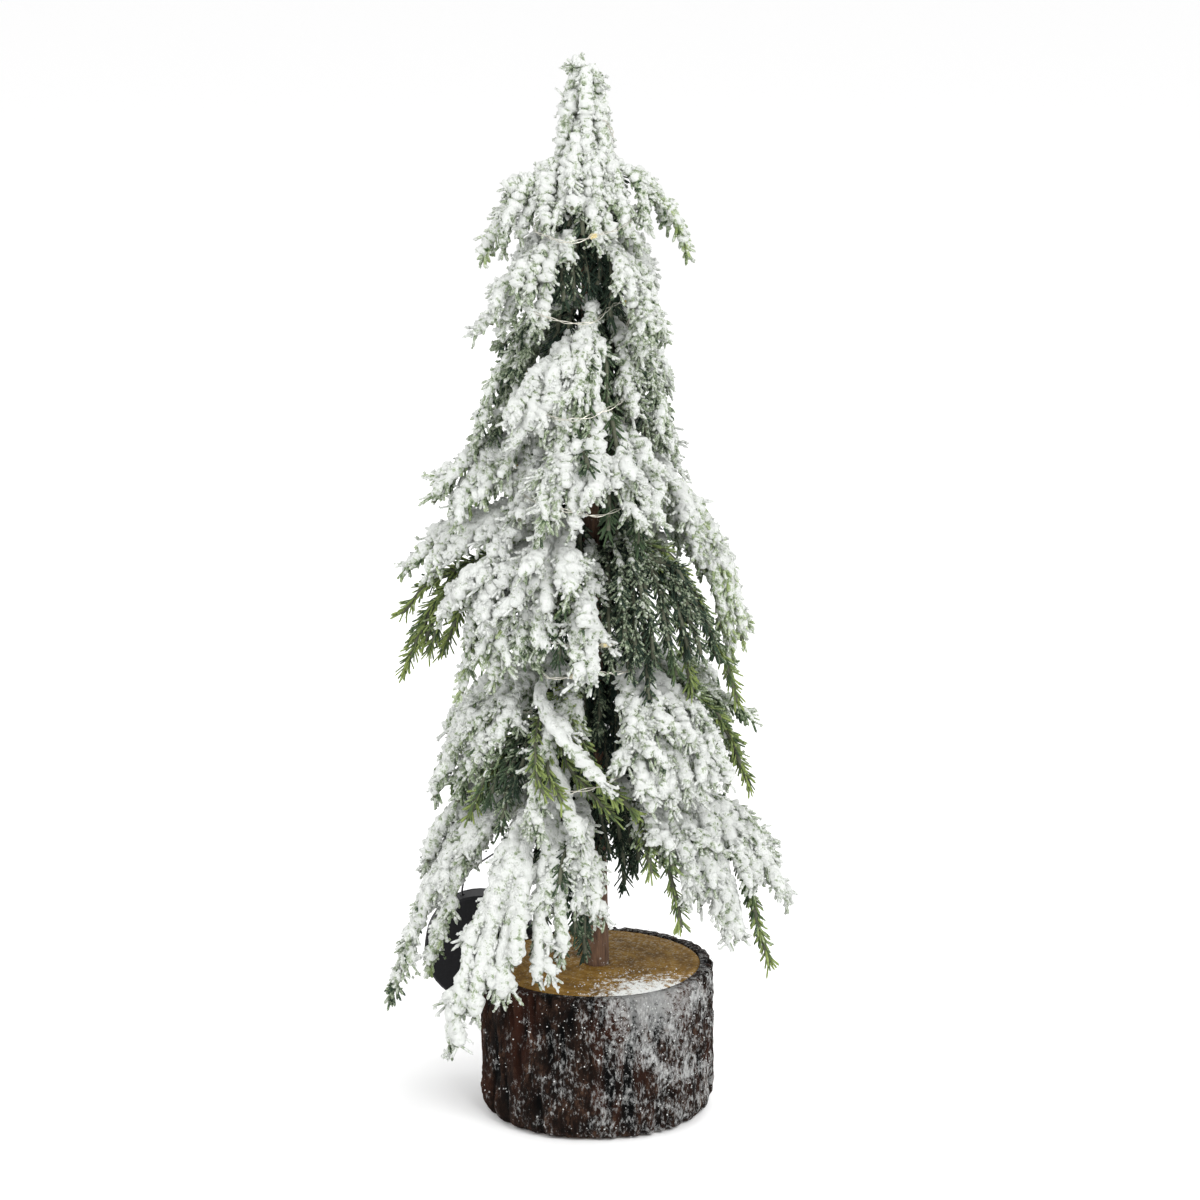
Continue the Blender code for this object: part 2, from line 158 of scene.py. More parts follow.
def wire_curve(name, lines, radius, sides=2):
    """One curve object; each line is a list of (point, radius share) pairs."""
    curve = bpy.data.curves.new(name, "CURVE")
    curve.dimensions = "3D"
    curve.bevel_depth = radius
    curve.bevel_resolution = sides
    curve.use_fill_caps = True
    for line in lines:
        strand = curve.splines.new("POLY")
        strand.points.add(len(line) - 1)
        strand.use_smooth = True
        for spot, (at, share) in zip(strand.points, line):
            spot.co = (*at, 1)
            spot.radius = share
    made = bpy.data.objects.new(name, curve)
    bpy.context.scene.collection.objects.link(made)
    return made


flex, flex_tree, flex_shader = new_finish("black_flex", 0.45)
flex_place = add_node(flex_tree, "ShaderNodeTexCoord")
flex_grain = add_node(flex_tree, "ShaderNodeTexNoise", {"Vector": flex_place.outputs["Object"],
                                                        "Scale": 1800.0, "Detail": 3.0})
flex_tone = add_node(flex_tree, "ShaderNodeValToRGB", {"Fac": flex_grain.outputs["Fac"]})
flex_tone.color_ramp.elements[0].color = (0.008, 0.008, 0.009, 1)
flex_tone.color_ramp.elements[1].color = (0.035, 0.035, 0.037, 1)
flex_tree.links.new(flex_tone.outputs["Color"], flex_shader.inputs["Base Color"])

lead_points, lead_length = along_route(LEAD_ROUTE, 0.002)
lead = wire_curve("battery_lead", [[(point, 1.0) for point in lead_points]], LEAD_D / 2)
lead.data.materials.append(flex)
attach(lead, "tree")
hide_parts("light_lead")


# Log, sawn wood --------------------------------------------------------------------------
# A slice of a small trunk, sawn square across the grain and left raw.  The end grain shows
# faint rings, and fine sparkling grit is scattered over it.

def object_from(name, bm, finish, smooth=True):
    mesh = bpy.data.meshes.new(name)
    bm.to_mesh(mesh)
    bm.free()
    if smooth:
        mesh.shade_smooth()
    made = bpy.data.objects.new(name, mesh)
    bpy.context.scene.collection.objects.link(made)
    mesh.materials.append(finish)
    return made


def spun(profile, steps, closed=False):
    """Turn (radius, height) pairs about Z into a closed body."""
    bm = bmesh.new()
    verts = [bm.verts.new((radius, 0, height)) for radius, height in profile]
    edges = [bm.edges.new(pair) for pair in zip(verts, verts[1:])]
    if closed:
        edges.append(bm.edges.new((verts[-1], verts[0])))
    bmesh.ops.spin(bm, geom=verts + edges, cent=(0, 0, 0), axis=(0, 0, 1),
                   angle=2 * math.pi, steps=steps, use_merge=True)
    bmesh.ops.remove_doubles(bm, verts=bm.verts, dist=1e-7)
    bmesh.ops.recalc_face_normals(bm, faces=bm.faces)
    return bm


def log_swell(bearing):
    return 1 + 0.012 * math.sin(2 * bearing + 0.7) + 0.008 * math.sin(5 * bearing)


_, wood_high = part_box("base_wood")
bark_low, bark_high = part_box("base_bark")
LOG_H = wood_high.z
BARK_R = (bark_high.x - bark_low.x + bark_high.y - bark_low.y) / 4
WOOD_R = BARK_R - 4.5 * MM
SPILL = Vector((0.020, -0.036, LOG_H))


def spill_mask(tree, place, reach):
    """How much snow lies here: thick by the front right rim, broken into flecks further off."""
    away = add_node(tree, "ShaderNodeVectorMath", {0: place, 1: SPILL}, operation="DISTANCE")
    near = add_node(tree, "ShaderNodeMapRange", {"Value": away.outputs["Value"],
                                                 "From Min": reach, "From Max": reach * 0.25,
                                                 "To Min": -0.16, "To Max": 0.12})
    near.clamp = False
    fleck = add_node(tree, "ShaderNodeTexNoise", {"Vector": place, "Scale": 420.0,
                                                  "Detail": 7.0, "Roughness": 0.75})
    total = add_node(tree, "ShaderNodeMath", {0: fleck.outputs["Fac"],
                                              1: near.outputs["Result"]}, operation="ADD")
    return add_node(tree, "ShaderNodeMapRange", {"Value": total.outputs[0], "From Min": 0.50,
                                                 "From Max": 0.60}).outputs["Result"]


sawn, sawn_tree, sawn_shader = new_finish("sawn_end_grain", 0.85)
sawn_shader.inputs["Specular IOR Level"].default_value = 0.15
sawn_place = add_node(sawn_tree, "ShaderNodeTexCoord").outputs["Object"]
sawn_rings = add_node(sawn_tree, "ShaderNodeTexWave",
                      {"Vector": sawn_place, "Scale": 70.0, "Distortion": 2.5,
                       "Detail": 3.0, "Detail Scale": 2.0},
                      wave_type="RINGS", rings_direction="Z")
sawn_blotch = add_node(sawn_tree, "ShaderNodeTexNoise", {"Vector": sawn_place, "Scale": 130.0,
                                                         "Detail": 8.0, "Roughness": 0.75})
sawn_sum = add_node(sawn_tree, "ShaderNodeMath", {0: sawn_rings.outputs["Fac"], 1: 0.07,
                                                  2: 0.05}, operation="MULTIPLY_ADD")
sawn_mix = add_node(sawn_tree, "ShaderNodeMath", {0: sawn_blotch.outputs["Fac"],
                                                  1: sawn_sum.outputs[0]}, operation="ADD")
sawn_tone = add_node(sawn_tree, "ShaderNodeValToRGB", {"Fac": sawn_mix.outputs[0]})
sawn_tone.color_ramp.elements[0].position = 0.35
sawn_tone.color_ramp.elements[0].color = (0.060, 0.028, 0.007, 1)
sawn_tone.color_ramp.elements[1].position = 0.85
sawn_tone.color_ramp.elements[1].color = (0.42, 0.25, 0.065, 1)
sawn_mid = sawn_tone.color_ramp.elements.new(0.58)
sawn_mid.color = (0.21, 0.112, 0.018, 1)
sawn_grit = add_node(sawn_tree, "ShaderNodeTexNoise", {"Vector": sawn_place, "Scale": 1100.0,
                                                       "Detail": 2.0})
sawn_side = add_node(sawn_tree, "ShaderNodeSeparateXYZ", {"Vector": sawn_place})
sawn_back = add_node(sawn_tree, "ShaderNodeMapRange", {"Value": sawn_side.outputs["Y"],
                                                       "From Min": -0.03, "From Max": 0.02,
                                                       "To Min": 0.0, "To Max": 0.09})
sawn_more = add_node(sawn_tree, "ShaderNodeMath", {0: sawn_grit.outputs["Fac"],
                                                   1: sawn_back.outputs["Result"]},
                     operation="ADD")
sawn_specks = add_node(sawn_tree, "ShaderNodeMapRange", {"Value": sawn_more.outputs[0],
                                                         "From Min": 0.60, "From Max": 0.74,
                                                         "To Max": 0.4})
sawn_gritty = add_node(sawn_tree, "ShaderNodeMix", {0: sawn_specks.outputs["Result"],
                                                    6: sawn_tone.outputs["Color"],
                                                    7: (0.60, 0.54, 0.42, 1)}, data_type="RGBA")
sawn_snowy = add_node(sawn_tree, "ShaderNodeMix",
                      {0: spill_mask(sawn_tree, sawn_place, 0.034),
                       6: sawn_gritty.outputs[2], 7: (0.82, 0.83, 0.81, 1)}, data_type="RGBA")
sawn_tree.links.new(sawn_snowy.outputs[2], sawn_shader.inputs["Base Color"])
sawn_bump = add_node(sawn_tree, "ShaderNodeBump", {"Height": sawn_blotch.outputs["Fac"],
                                                   "Strength": 0.6, "Distance": 0.0006})
sawn_fine = add_node(sawn_tree, "ShaderNodeBump", {"Height": sawn_grit.outputs["Fac"],
                                                   "Normal": sawn_bump.outputs["Normal"],
                                                   "Strength": 0.5, "Distance": 0.0003})
sawn_tree.links.new(sawn_fine.outputs["Normal"], sawn_shader.inputs["Normal"])

# The wander that the noise gives starts from the clock unless it is set, so it is set once here.
noise.seed_set(23)

BORE_R = 4.9 * MM
wood_profile = [(0, 0), (WOOD_R - 1 * MM, 0), (WOOD_R, 1 * MM)]
wood_profile += [(WOOD_R, LOG_H - 0.6 * MM), (WOOD_R - 0.6 * MM, LOG_H)]
FACE_RINGS = 22
for ring in range(1, FACE_RINGS + 1):
    wood_profile.append((WOOD_R - 0.6 * MM - (WOOD_R - 0.6 * MM - BORE_R) * ring / FACE_RINGS,
                         LOG_H))
wood_profile += [(BORE_R, LOG_H - 19 * MM), (0, LOG_H - 19 * MM)]
wood_bm = spun(wood_profile, 120)
for vert in wood_bm.verts:
    away = math.hypot(vert.co.x, vert.co.y)
    if away > 1.5 * BORE_R:
        swell = log_swell(math.atan2(vert.co.y, vert.co.x))
        vert.co.x *= swell
        vert.co.y *= swell
        if vert.co.z > LOG_H - 0.1 * MM:
            saw = noise.noise(Vector((vert.co.x * 90, vert.co.y * 700, 0)))
            vert.co.z += 0.14 * MM * saw - 0.1 * MM
log_wood = object_from("log_wood", wood_bm, sawn)
log_wood.data.set_sharp_from_angle(angle=math.radians(35))
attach(log_wood, "tree")
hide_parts("base_wood")


# Log, bark -------------------------------------------------------------------------------
# The bark left on the slice: dark corky plates between upright fissures, reddish where plates
# have flaked, with sprayed frost caught on their edges.  The fissures are painted almost black as
# shade.

rough_bark, bark_tree, bark_shader = new_finish("fissured_bark", 0.9)
bark_shader.inputs["Specular IOR Level"].default_value = 0.1
bark_place = add_node(bark_tree, "ShaderNodeTexCoord").outputs["Object"]
bark_stretch = add_node(bark_tree, "ShaderNodeMapping", {"Vector": bark_place,
                                                         "Scale": (1.0, 1.0, 0.45)})
bark_flakes = add_node(bark_tree, "ShaderNodeTexNoise",
                       {"Vector": bark_stretch.outputs["Vector"], "Scale": 260.0,
                        "Detail": 9.0, "Roughness": 0.8})
bark_tone = add_node(bark_tree, "ShaderNodeValToRGB", {"Fac": bark_flakes.outputs["Fac"]})
bark_tone.color_ramp.elements[0].position = 0.38
bark_tone.color_ramp.elements[0].color = (0.002, 0.0015, 0.001, 1)
bark_tone.color_ramp.elements[1].position = 0.68
bark_tone.color_ramp.elements[1].color = (0.11, 0.060, 0.038, 1)
bark_mid = bark_tone.color_ramp.elements.new(0.52)
bark_mid.color = (0.018, 0.009, 0.006, 1)
bark_red = add_node(bark_tree, "ShaderNodeTexNoise", {"Vector": bark_stretch.outputs["Vector"],
                                                      "Scale": 55.0, "Detail": 3.0})
bark_flaked = add_node(bark_tree, "ShaderNodeMapRange", {"Value": bark_red.outputs["Fac"],
                                                         "From Min": 0.52, "From Max": 0.66,
                                                         "To Max": 0.6})
bark_warm = add_node(bark_tree, "ShaderNodeMix",
                     {0: bark_flaked.outputs["Result"], 6: bark_tone.outputs["Color"],
                      7: (0.060, 0.019, 0.010, 1)}, data_type="RGBA")
# Painted shade: where the ridge value is low, in the fissures, the colour is darkened almost to
# black.
bark_height = add_node(bark_tree, "ShaderNodeAttribute", attribute_name="ridge")
bark_fissure_shade = add_node(bark_tree, "ShaderNodeMix",
                     {0: bark_height.outputs["Fac"], 6: (0.001, 0.001, 0.001, 1),
                      7: bark_warm.outputs[2]}, data_type="RGBA")
bark_dust = add_node(bark_tree, "ShaderNodeTexNoise",
                     {"Vector": bark_stretch.outputs["Vector"], "Scale": 850.0,
                      "Detail": 5.0, "Roughness": 0.75})
bark_patch = add_node(bark_tree, "ShaderNodeTexNoise", {"Vector": bark_place, "Scale": 110.0,
                                                        "Detail": 5.0, "Roughness": 0.7})
bark_side = add_node(bark_tree, "ShaderNodeSeparateXYZ", {"Vector": bark_place})
bark_right = add_node(bark_tree, "ShaderNodeMapRange", {"Value": bark_side.outputs["X"],
                                                        "From Min": -0.045, "From Max": 0.02,
                                                        "To Min": -0.10, "To Max": 0.06})
bark_frost = add_node(bark_tree, "ShaderNodeMath", {0: bark_patch.outputs["Fac"], 1: 0.8,
                                                    2: bark_right.outputs["Result"]},
                      operation="MULTIPLY_ADD")
bark_more = add_node(bark_tree, "ShaderNodeMath", {0: bark_frost.outputs[0],
                                                   1: bark_dust.outputs["Fac"]},
                     operation="ADD")
bark_spots = add_node(bark_tree, "ShaderNodeMapRange", {"Value": bark_more.outputs[0],
                                                        "From Min": 0.93, "From Max": 1.14,
                                                        "To Max": 0.8})
bark_spill = add_node(bark_tree, "ShaderNodeMath", {0: spill_mask(bark_tree, bark_place, 0.034),
                                                    1: bark_dust.outputs["Fac"]},
                        operation="MULTIPLY")
bark_covered = add_node(bark_tree, "ShaderNodeMath",
                        {0: bark_spots.outputs["Result"], 1: bark_spill.outputs[0]},
                        operation="MAXIMUM")
bark_snowy = add_node(bark_tree, "ShaderNodeMix",
                      {0: bark_covered.outputs[0], 6: bark_fissure_shade.outputs[2],
                       7: (0.70, 0.71, 0.70, 1)}, data_type="RGBA")
bark_tree.links.new(bark_snowy.outputs[2], bark_shader.inputs["Base Color"])
bark_bump = add_node(bark_tree, "ShaderNodeBump", {"Height": bark_flakes.outputs["Fac"],
                                                   "Strength": 1.0, "Distance": 0.0022})
bark_grain = add_node(bark_tree, "ShaderNodeBump", {"Height": bark_more.outputs[0],
                                                    "Normal": bark_bump.outputs["Normal"],
                                                    "Strength": 0.8, "Distance": 0.0008})
bark_tree.links.new(bark_grain.outputs["Normal"], bark_shader.inputs["Normal"])


def bark_relief(bearing, height):
    """How far the bark stands out here in metres, and how proud of its fissures it is."""
    at = Vector((math.cos(bearing) * 8.5, math.sin(bearing) * 8.5, height * 34))
    at += 0.45 * noise.noise_vector(Vector((at.x, at.y, at.z * 1.5)))
    proud = 1 - 2.6 * abs(noise.noise(at))
    plates = noise.noise(Vector((at.x * 2.6, at.y * 2.6, at.z * 3.4)))
    flakes = noise.noise(Vector((at.x * 6.5, at.y * 6.5, at.z * 7.5)))
    stand = 1.9 * MM * (min(proud, 0.7) - 0.35) + 0.75 * MM * plates + 0.4 * MM * flakes
    return stand, min(max((proud + 0.45) / 0.75 + 0.5 * plates, 0.0), 1.0)


BARK_ROUND = 7.0 * MM
BARK_ROWS = 76
bark_profile = [(WOOD_R + 0.2 * MM, LOG_H), (WOOD_R + 0.2 * MM, 1.0 * MM)]
for step in range(9):
    turn_down = 0.5 * math.pi * step / 8
    bark_profile.append((BARK_R - 0.45 * BARK_ROUND * (1 - math.sin(turn_down)),
                         0.4 * MM + BARK_ROUND * (1 - math.cos(turn_down))))
for step in range(1, BARK_ROWS + 1):
    bark_profile.append((BARK_R, 0.4 * MM + BARK_ROUND
                         + (LOG_H - 1.2 * MM - BARK_ROUND - 0.4 * MM) * step / BARK_ROWS))
bark_profile += [(BARK_R - 1.0 * MM, LOG_H), (BARK_R - 2.2 * MM, LOG_H + 0.1 * MM)]
bark_bm = spun(bark_profile, 400, closed=True)
ridge = bark_bm.verts.layers.float.new("ridge")
for vert in bark_bm.verts:
    away = math.hypot(vert.co.x, vert.co.y)
    bearing = math.atan2(vert.co.y, vert.co.x)
    stand, proud = bark_relief(bearing, vert.co.z)
    share = min(1.0, max(0.0, (away - WOOD_R - 0.5 * MM) / (2.5 * MM)))
    away = away * log_swell(bearing) + stand * share
    vert.co.x = math.cos(bearing) * away
    vert.co.y = math.sin(bearing) * away
    vert[ridge] = proud
log_bark = object_from("log_bark", bark_bm, rough_bark)
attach(log_bark, "tree")
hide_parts("base_bark")


# Loose snow on the log -------------------------------------------------------------------
# Grains of artificial snow glued where they fell: heaped over the rim at the front right, and
# caught here and there on the bark and round the foot of the trunk.

def seed_shape(name, columns, rings):
    """A unit ball with few faces, and the places of its corners."""
    bm = bmesh.new()
    bmesh.ops.create_uvsphere(bm, u_segments=columns, v_segments=rings, radius=1.0)
    mesh = bpy.data.meshes.new(name)
    bm.to_mesh(mesh)
    bm.free()
    mesh.shade_smooth()
    mesh.attributes.new("dye", "FLOAT_COLOR", "POINT")
    return mesh, [vert.co.copy() for vert in mesh.vertices]


NEEDLE_SEED = seed_shape("needle_seed", 5, 3)
GRAIN_SEED = seed_shape("grain_seed", 4, 2)


def add_grain(bm, seed, middle, heading, width, length, tone, flock_and_shade, chance):
    """One blunt, uneven grain along heading; its flock white, with painted shade in it, is given at
    its foot, its body and its tip.
    """
    mesh, corners = seed
    turn = heading.to_track_quat("Z", "Y").to_matrix()
    places, colours_and_shades = [], []
    for corner in corners:
        high = math.copysign(abs(corner.z) ** 0.45, corner.z) if abs(corner.z) > 0.01 else 0.0
        swell = width * chance.uniform(0.75, 1.35)
        places.extend(middle + turn @ Vector((corner.x * swell, corner.y * swell,
                                              high * length / 2)))
        # The foot is given a lower value than the body: painted shade where the grain meets the
        # twig.
        white = flock_and_shade[0] if high < -0.9 else flock_and_shade[1] if high < 0.9 else flock_and_shade[2]
        if -0.9 < high < -0.1:
            white = (flock_and_shade[0] + flock_and_shade[1]) / 2
        colours_and_shades.extend((tone, white, 0, 1))
    mesh.vertices.foreach_set("co", places)
    mesh.attributes["dye"].data.foreach_set("color", colours_and_shades)
    bm.from_mesh(mesh)


snow, snow_tree, snow_shader = new_finish("snow_grain", 0.85)
snow_place = add_node(snow_tree, "ShaderNodeTexCoord").outputs["Object"]
snow_mottle = add_node(snow_tree, "ShaderNodeTexNoise", {"Vector": snow_place, "Scale": 900.0,
                                                         "Detail": 3.0})
snow_tone = add_node(snow_tree, "ShaderNodeValToRGB", {"Fac": snow_mottle.outputs["Fac"]})
snow_tone.color_ramp.elements[0].position = 0.3
snow_tone.color_ramp.elements[0].color = (0.46, 0.47, 0.46, 1)
snow_tone.color_ramp.elements[1].position = 0.6
snow_tone.color_ramp.elements[1].color = (0.78, 0.79, 0.78, 1)
snow_tree.links.new(snow_tone.outputs["Color"], snow_shader.inputs["Base Color"])

chance = random.Random("loose snow")
snow_bm = bmesh.new()
snow_bm.verts.layers.float_color.new("dye")
for number in range(5200):
    bearing = chance.uniform(-math.pi, math.pi)
    on_top = number < 2000
    if on_top:
        away = WOOD_R * math.sqrt(chance.random())
        spot = Vector((math.cos(bearing) * away, math.sin(bearing) * away, LOG_H))
        limit = 0.030
    else:
        height = LOG_H * chance.random() ** 0.8
        away = BARK_R * log_swell(bearing) + bark_relief(bearing, height)[0]
        away -= 0.45 * BARK_ROUND * max(0.0, 1 - height / BARK_ROUND) ** 2
        spot = Vector((math.cos(bearing) * away, math.sin(bearing) * away, height))
        limit = 0.040
    thick = 1.1 - (spot - SPILL).length / limit
    if not on_top:
        thick = max(thick, 0.16 + 0.9 * noise.noise(spot * 140) + spot.x * 5)
    if chance.random() > thick:
        continue
    size = chance.uniform(0.16, 0.40) * MM
    heading = Vector([chance.gauss(0, 1) for axis in range(3)]).normalized()
    add_grain(snow_bm, GRAIN_SEED, spot, heading, size, size * 2, 0, (1, 1, 1), chance)
loose_snow = object_from("loose_snow", snow_bm, snow)
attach(loose_snow, "tree")


# Trunk -----------------------------------------------------------------------------------
# A steel rod bound in brown crepe paper tape; the tape's creases run up the stem, and a little
# flock has settled on it.

taped, tape_tree, tape_shader = new_finish("crepe_tape", 0.85)
tape_place = add_node(tape_tree, "ShaderNodeTexCoord").outputs["Object"]
tape_long = add_node(tape_tree, "ShaderNodeMapping", {"Vector": tape_place,
                                                      "Scale": (1.0, 1.0, 0.12)})
tape_crease = add_node(tape_tree, "ShaderNodeTexNoise",
                       {"Vector": tape_long.outputs["Vector"], "Scale": 900.0,
                        "Detail": 5.0, "Roughness": 0.7})
tape_tone = add_node(tape_tree, "ShaderNodeValToRGB", {"Fac": tape_crease.outputs["Fac"]})
tape_tone.color_ramp.elements[0].position = 0.3
tape_tone.color_ramp.elements[0].color = (0.035, 0.017, 0.010, 1)
tape_tone.color_ramp.elements[1].position = 0.75
tape_tone.color_ramp.elements[1].color = (0.24, 0.135, 0.08, 1)
tape_dust = add_node(tape_tree, "ShaderNodeTexNoise", {"Vector": tape_place, "Scale": 420.0,
                                                       "Detail": 6.0, "Roughness": 0.7})
tape_flock = add_node(tape_tree, "ShaderNodeMapRange", {"Value": tape_dust.outputs["Fac"],
                                                        "From Min": 0.60, "From Max": 0.72})
tape_dusty = add_node(tape_tree, "ShaderNodeMix",
                      {0: tape_flock.outputs["Result"], 6: tape_tone.outputs["Color"],
                       7: (0.72, 0.72, 0.69, 1)}, data_type="RGBA")
tape_tree.links.new(tape_dusty.outputs[2], tape_shader.inputs["Base Color"])
tape_bump = add_node(tape_tree, "ShaderNodeBump", {"Height": tape_crease.outputs["Fac"],
                                                   "Strength": 0.8, "Distance": 0.0005})
tape_tree.links.new(tape_bump.outputs["Normal"], tape_shader.inputs["Normal"])


def refinish(cad_node, finish):
    shown = frame["nodes"][cad_node]
    for place in shown.material_slots:
        place.material = finish


refinish("trunk_tape", taped)

drawn, drawn_tree, drawn_shader = new_finish("drawn_steel", 0.42, 1.0)
drawn_place = add_node(drawn_tree, "ShaderNodeTexCoord").outputs["Object"]
drawn_long = add_node(drawn_tree, "ShaderNodeMapping", {"Vector": drawn_place,
                                                        "Scale": (1.0, 1.0, 0.05)})
drawn_lines = add_node(drawn_tree, "ShaderNodeTexNoise",
                       {"Vector": drawn_long.outputs["Vector"], "Scale": 2500.0, "Detail": 4.0})
drawn_tone = add_node(drawn_tree, "ShaderNodeValToRGB", {"Fac": drawn_lines.outputs["Fac"]})
drawn_tone.color_ramp.elements[0].color = (0.30, 0.29, 0.27, 1)
drawn_tone.color_ramp.elements[1].color = (0.62, 0.61, 0.58, 1)
drawn_tree.links.new(drawn_tone.outputs["Color"], drawn_shader.inputs["Base Color"])
refinish("trunk_rod", drawn)
refinish("lid_screw", drawn)


# Boughs ----------------------------------------------------------------------------------
# Each bough is a paper-covered wire with a fan of drooping twigs.  The twigs are dressed with
# moulded needles, and white flock is sprayed on from above, so every needle is a thick white
# grain on top and green underneath and at some tips.  Painted shade is mixed into that colour:
# the gaps, the needles' feet and the flock's creases are painted darker, and the tops whiter than
# the flock alone makes them.

needle_finish, needle_tree, needle_shader = new_finish("flocked_needle", 0.9)
needle_colour_and_shade = add_node(needle_tree, "ShaderNodeAttribute", attribute_name="dye")
needle_parts = add_node(needle_tree, "ShaderNodeSeparateColor", {0: needle_colour_and_shade.outputs["Color"]})
needle_green = add_node(needle_tree, "ShaderNodeValToRGB", {"Fac": needle_parts.outputs["Red"]})
needle_green.color_ramp.elements[0].color = (0.012, 0.032, 0.020, 1)
needle_green.color_ramp.elements[1].color = (0.30, 0.38, 0.11, 1)
needle_mid = needle_green.color_ramp.elements.new(0.45)
needle_mid.color = (0.060, 0.105, 0.042, 1)
needle_place = add_node(needle_tree, "ShaderNodeTexCoord").outputs["Object"]
needle_fibre = add_node(needle_tree, "ShaderNodeTexNoise", {"Vector": needle_place,
                                                            "Scale": 1500.0, "Detail": 3.0,
                                                            "Roughness": 0.7})
needle_clump = add_node(needle_tree, "ShaderNodeTexNoise", {"Vector": needle_place,
                                                            "Scale": 520.0, "Detail": 3.0,
                                                            "Roughness": 0.6})
needle_both = add_node(needle_tree, "ShaderNodeMath", {0: needle_fibre.outputs["Fac"],
                                                       1: needle_clump.outputs["Fac"]},
                       operation="ADD")
needle_edge = add_node(needle_tree, "ShaderNodeMath", {0: needle_both.outputs[0], 1: 1.8,
                                                       2: needle_parts.outputs["Green"]},
                       operation="MULTIPLY_ADD")
# The flock value read here also carries painted shade: creases, needle feet and undersides come out
# greener and darker, tops whiter.
needle_flock_and_shade = add_node(needle_tree, "ShaderNodeMapRange", {"Value": needle_edge.outputs[0],
                                                            "From Min": 1.60, "From Max": 2.50})
needle_thin = add_node(needle_tree, "ShaderNodeMix",
                       {0: 0.55, 6: needle_green.outputs["Color"],
                        7: (0.56, 0.66, 0.42, 1)}, data_type="RGBA")
needle_sage = add_node(needle_tree, "ShaderNodeMapRange", {"Value": needle_flock_and_shade.outputs[0],
                                                           "From Min": 0.0, "From Max": 0.45})
needle_over = add_node(needle_tree, "ShaderNodeMix",
                       {0: needle_sage.outputs["Result"], 6: needle_green.outputs["Color"],
                        7: needle_thin.outputs[2]}, data_type="RGBA")
needle_full = add_node(needle_tree, "ShaderNodeMapRange", {"Value": needle_flock_and_shade.outputs[0],
                                                           "From Min": 0.45, "From Max": 1.0})
needle_white = add_node(needle_tree, "ShaderNodeMix",
                        {0: needle_full.outputs["Result"], 6: needle_over.outputs[2],
                         7: (0.78, 0.80, 0.77, 1)}, data_type="RGBA")
needle_tree.links.new(needle_white.outputs[2], needle_shader.inputs["Base Color"])
needle_bump = add_node(needle_tree, "ShaderNodeBump", {"Height": needle_both.outputs[0],
                                                       "Strength": 1.0, "Distance": 0.0011})
needle_tree.links.new(needle_bump.outputs["Normal"], needle_shader.inputs["Normal"])

stem_finish, stem_tree, stem_shader = new_finish("stem_paper", 0.8)
stem_place = add_node(stem_tree, "ShaderNodeTexCoord").outputs["Object"]
stem_mottle = add_node(stem_tree, "ShaderNodeTexNoise", {"Vector": stem_place,
                                                         "Scale": 700.0, "Detail": 4.0})
stem_tone = add_node(stem_tree, "ShaderNodeValToRGB", {"Fac": stem_mottle.outputs["Fac"]})
stem_tone.color_ramp.elements[0].color = (0.020, 0.022, 0.012, 1)
stem_tone.color_ramp.elements[1].color = (0.13, 0.14, 0.09, 1)
stem_tree.links.new(stem_tone.outputs["Color"], stem_shader.inputs["Base Color"])

NEEDLE_L = 6.2 * MM
NEEDLE_R = 0.30 * MM
FLOCK_R = 0.42 * MM
ROPE_R = 2.75 * MM
PUFF = 1.65 * MM
BEND_RISE = 2.0 * MM

# Depth of flock on each bough (0 none, 1 full) and how yellow-green its needles are.
PLAIN = (0.95, 0.30)
DRESSING = {
    "bough_a1": (0.85, 0.20), "bough_a2": (0.80, 0.30), "bough_a3": (0.85, 0.10),
    "bough_b1": (0.90, 0.20), "bough_b2": (0.85, 0.15), "bough_c1": (0.65, 0.12),
    "bough_c2": (1.00, 0.15), "bough_c3": (0.90, 0.20), "bough_c4": (0.75, 0.08),
    "bough_d1": (0.95, 0.25), "bough_d2": (0.95, 0.15), "bough_d3": (0.90, 0.10),
    "bough_d4": (1.00, 0.30), "bough_e1": (1.05, 0.25), "bough_e2": (0.30, 0.70),
    "bough_e3": (1.05, 0.30), "bough_e4": (0.90, 0.15), "bough_e5": (0.40, 0.05),
    "bough_f1": (0.95, 0.35), "bough_f2": (0.35, 0.25), "bough_f3": (0.90, 0.45),
    "bough_f4": (0.95, 0.20), "bough_f5": (0.60, 0.45), "bough_g1": (1.00, 0.20),
    "bough_g2": (1.00, 0.30), "bough_g3": (1.05, 0.25), "bough_g4": (0.95, 0.20),
    "bough_g5": (0.90, 0.30), "bough_g6": (0.95, 0.30),
}

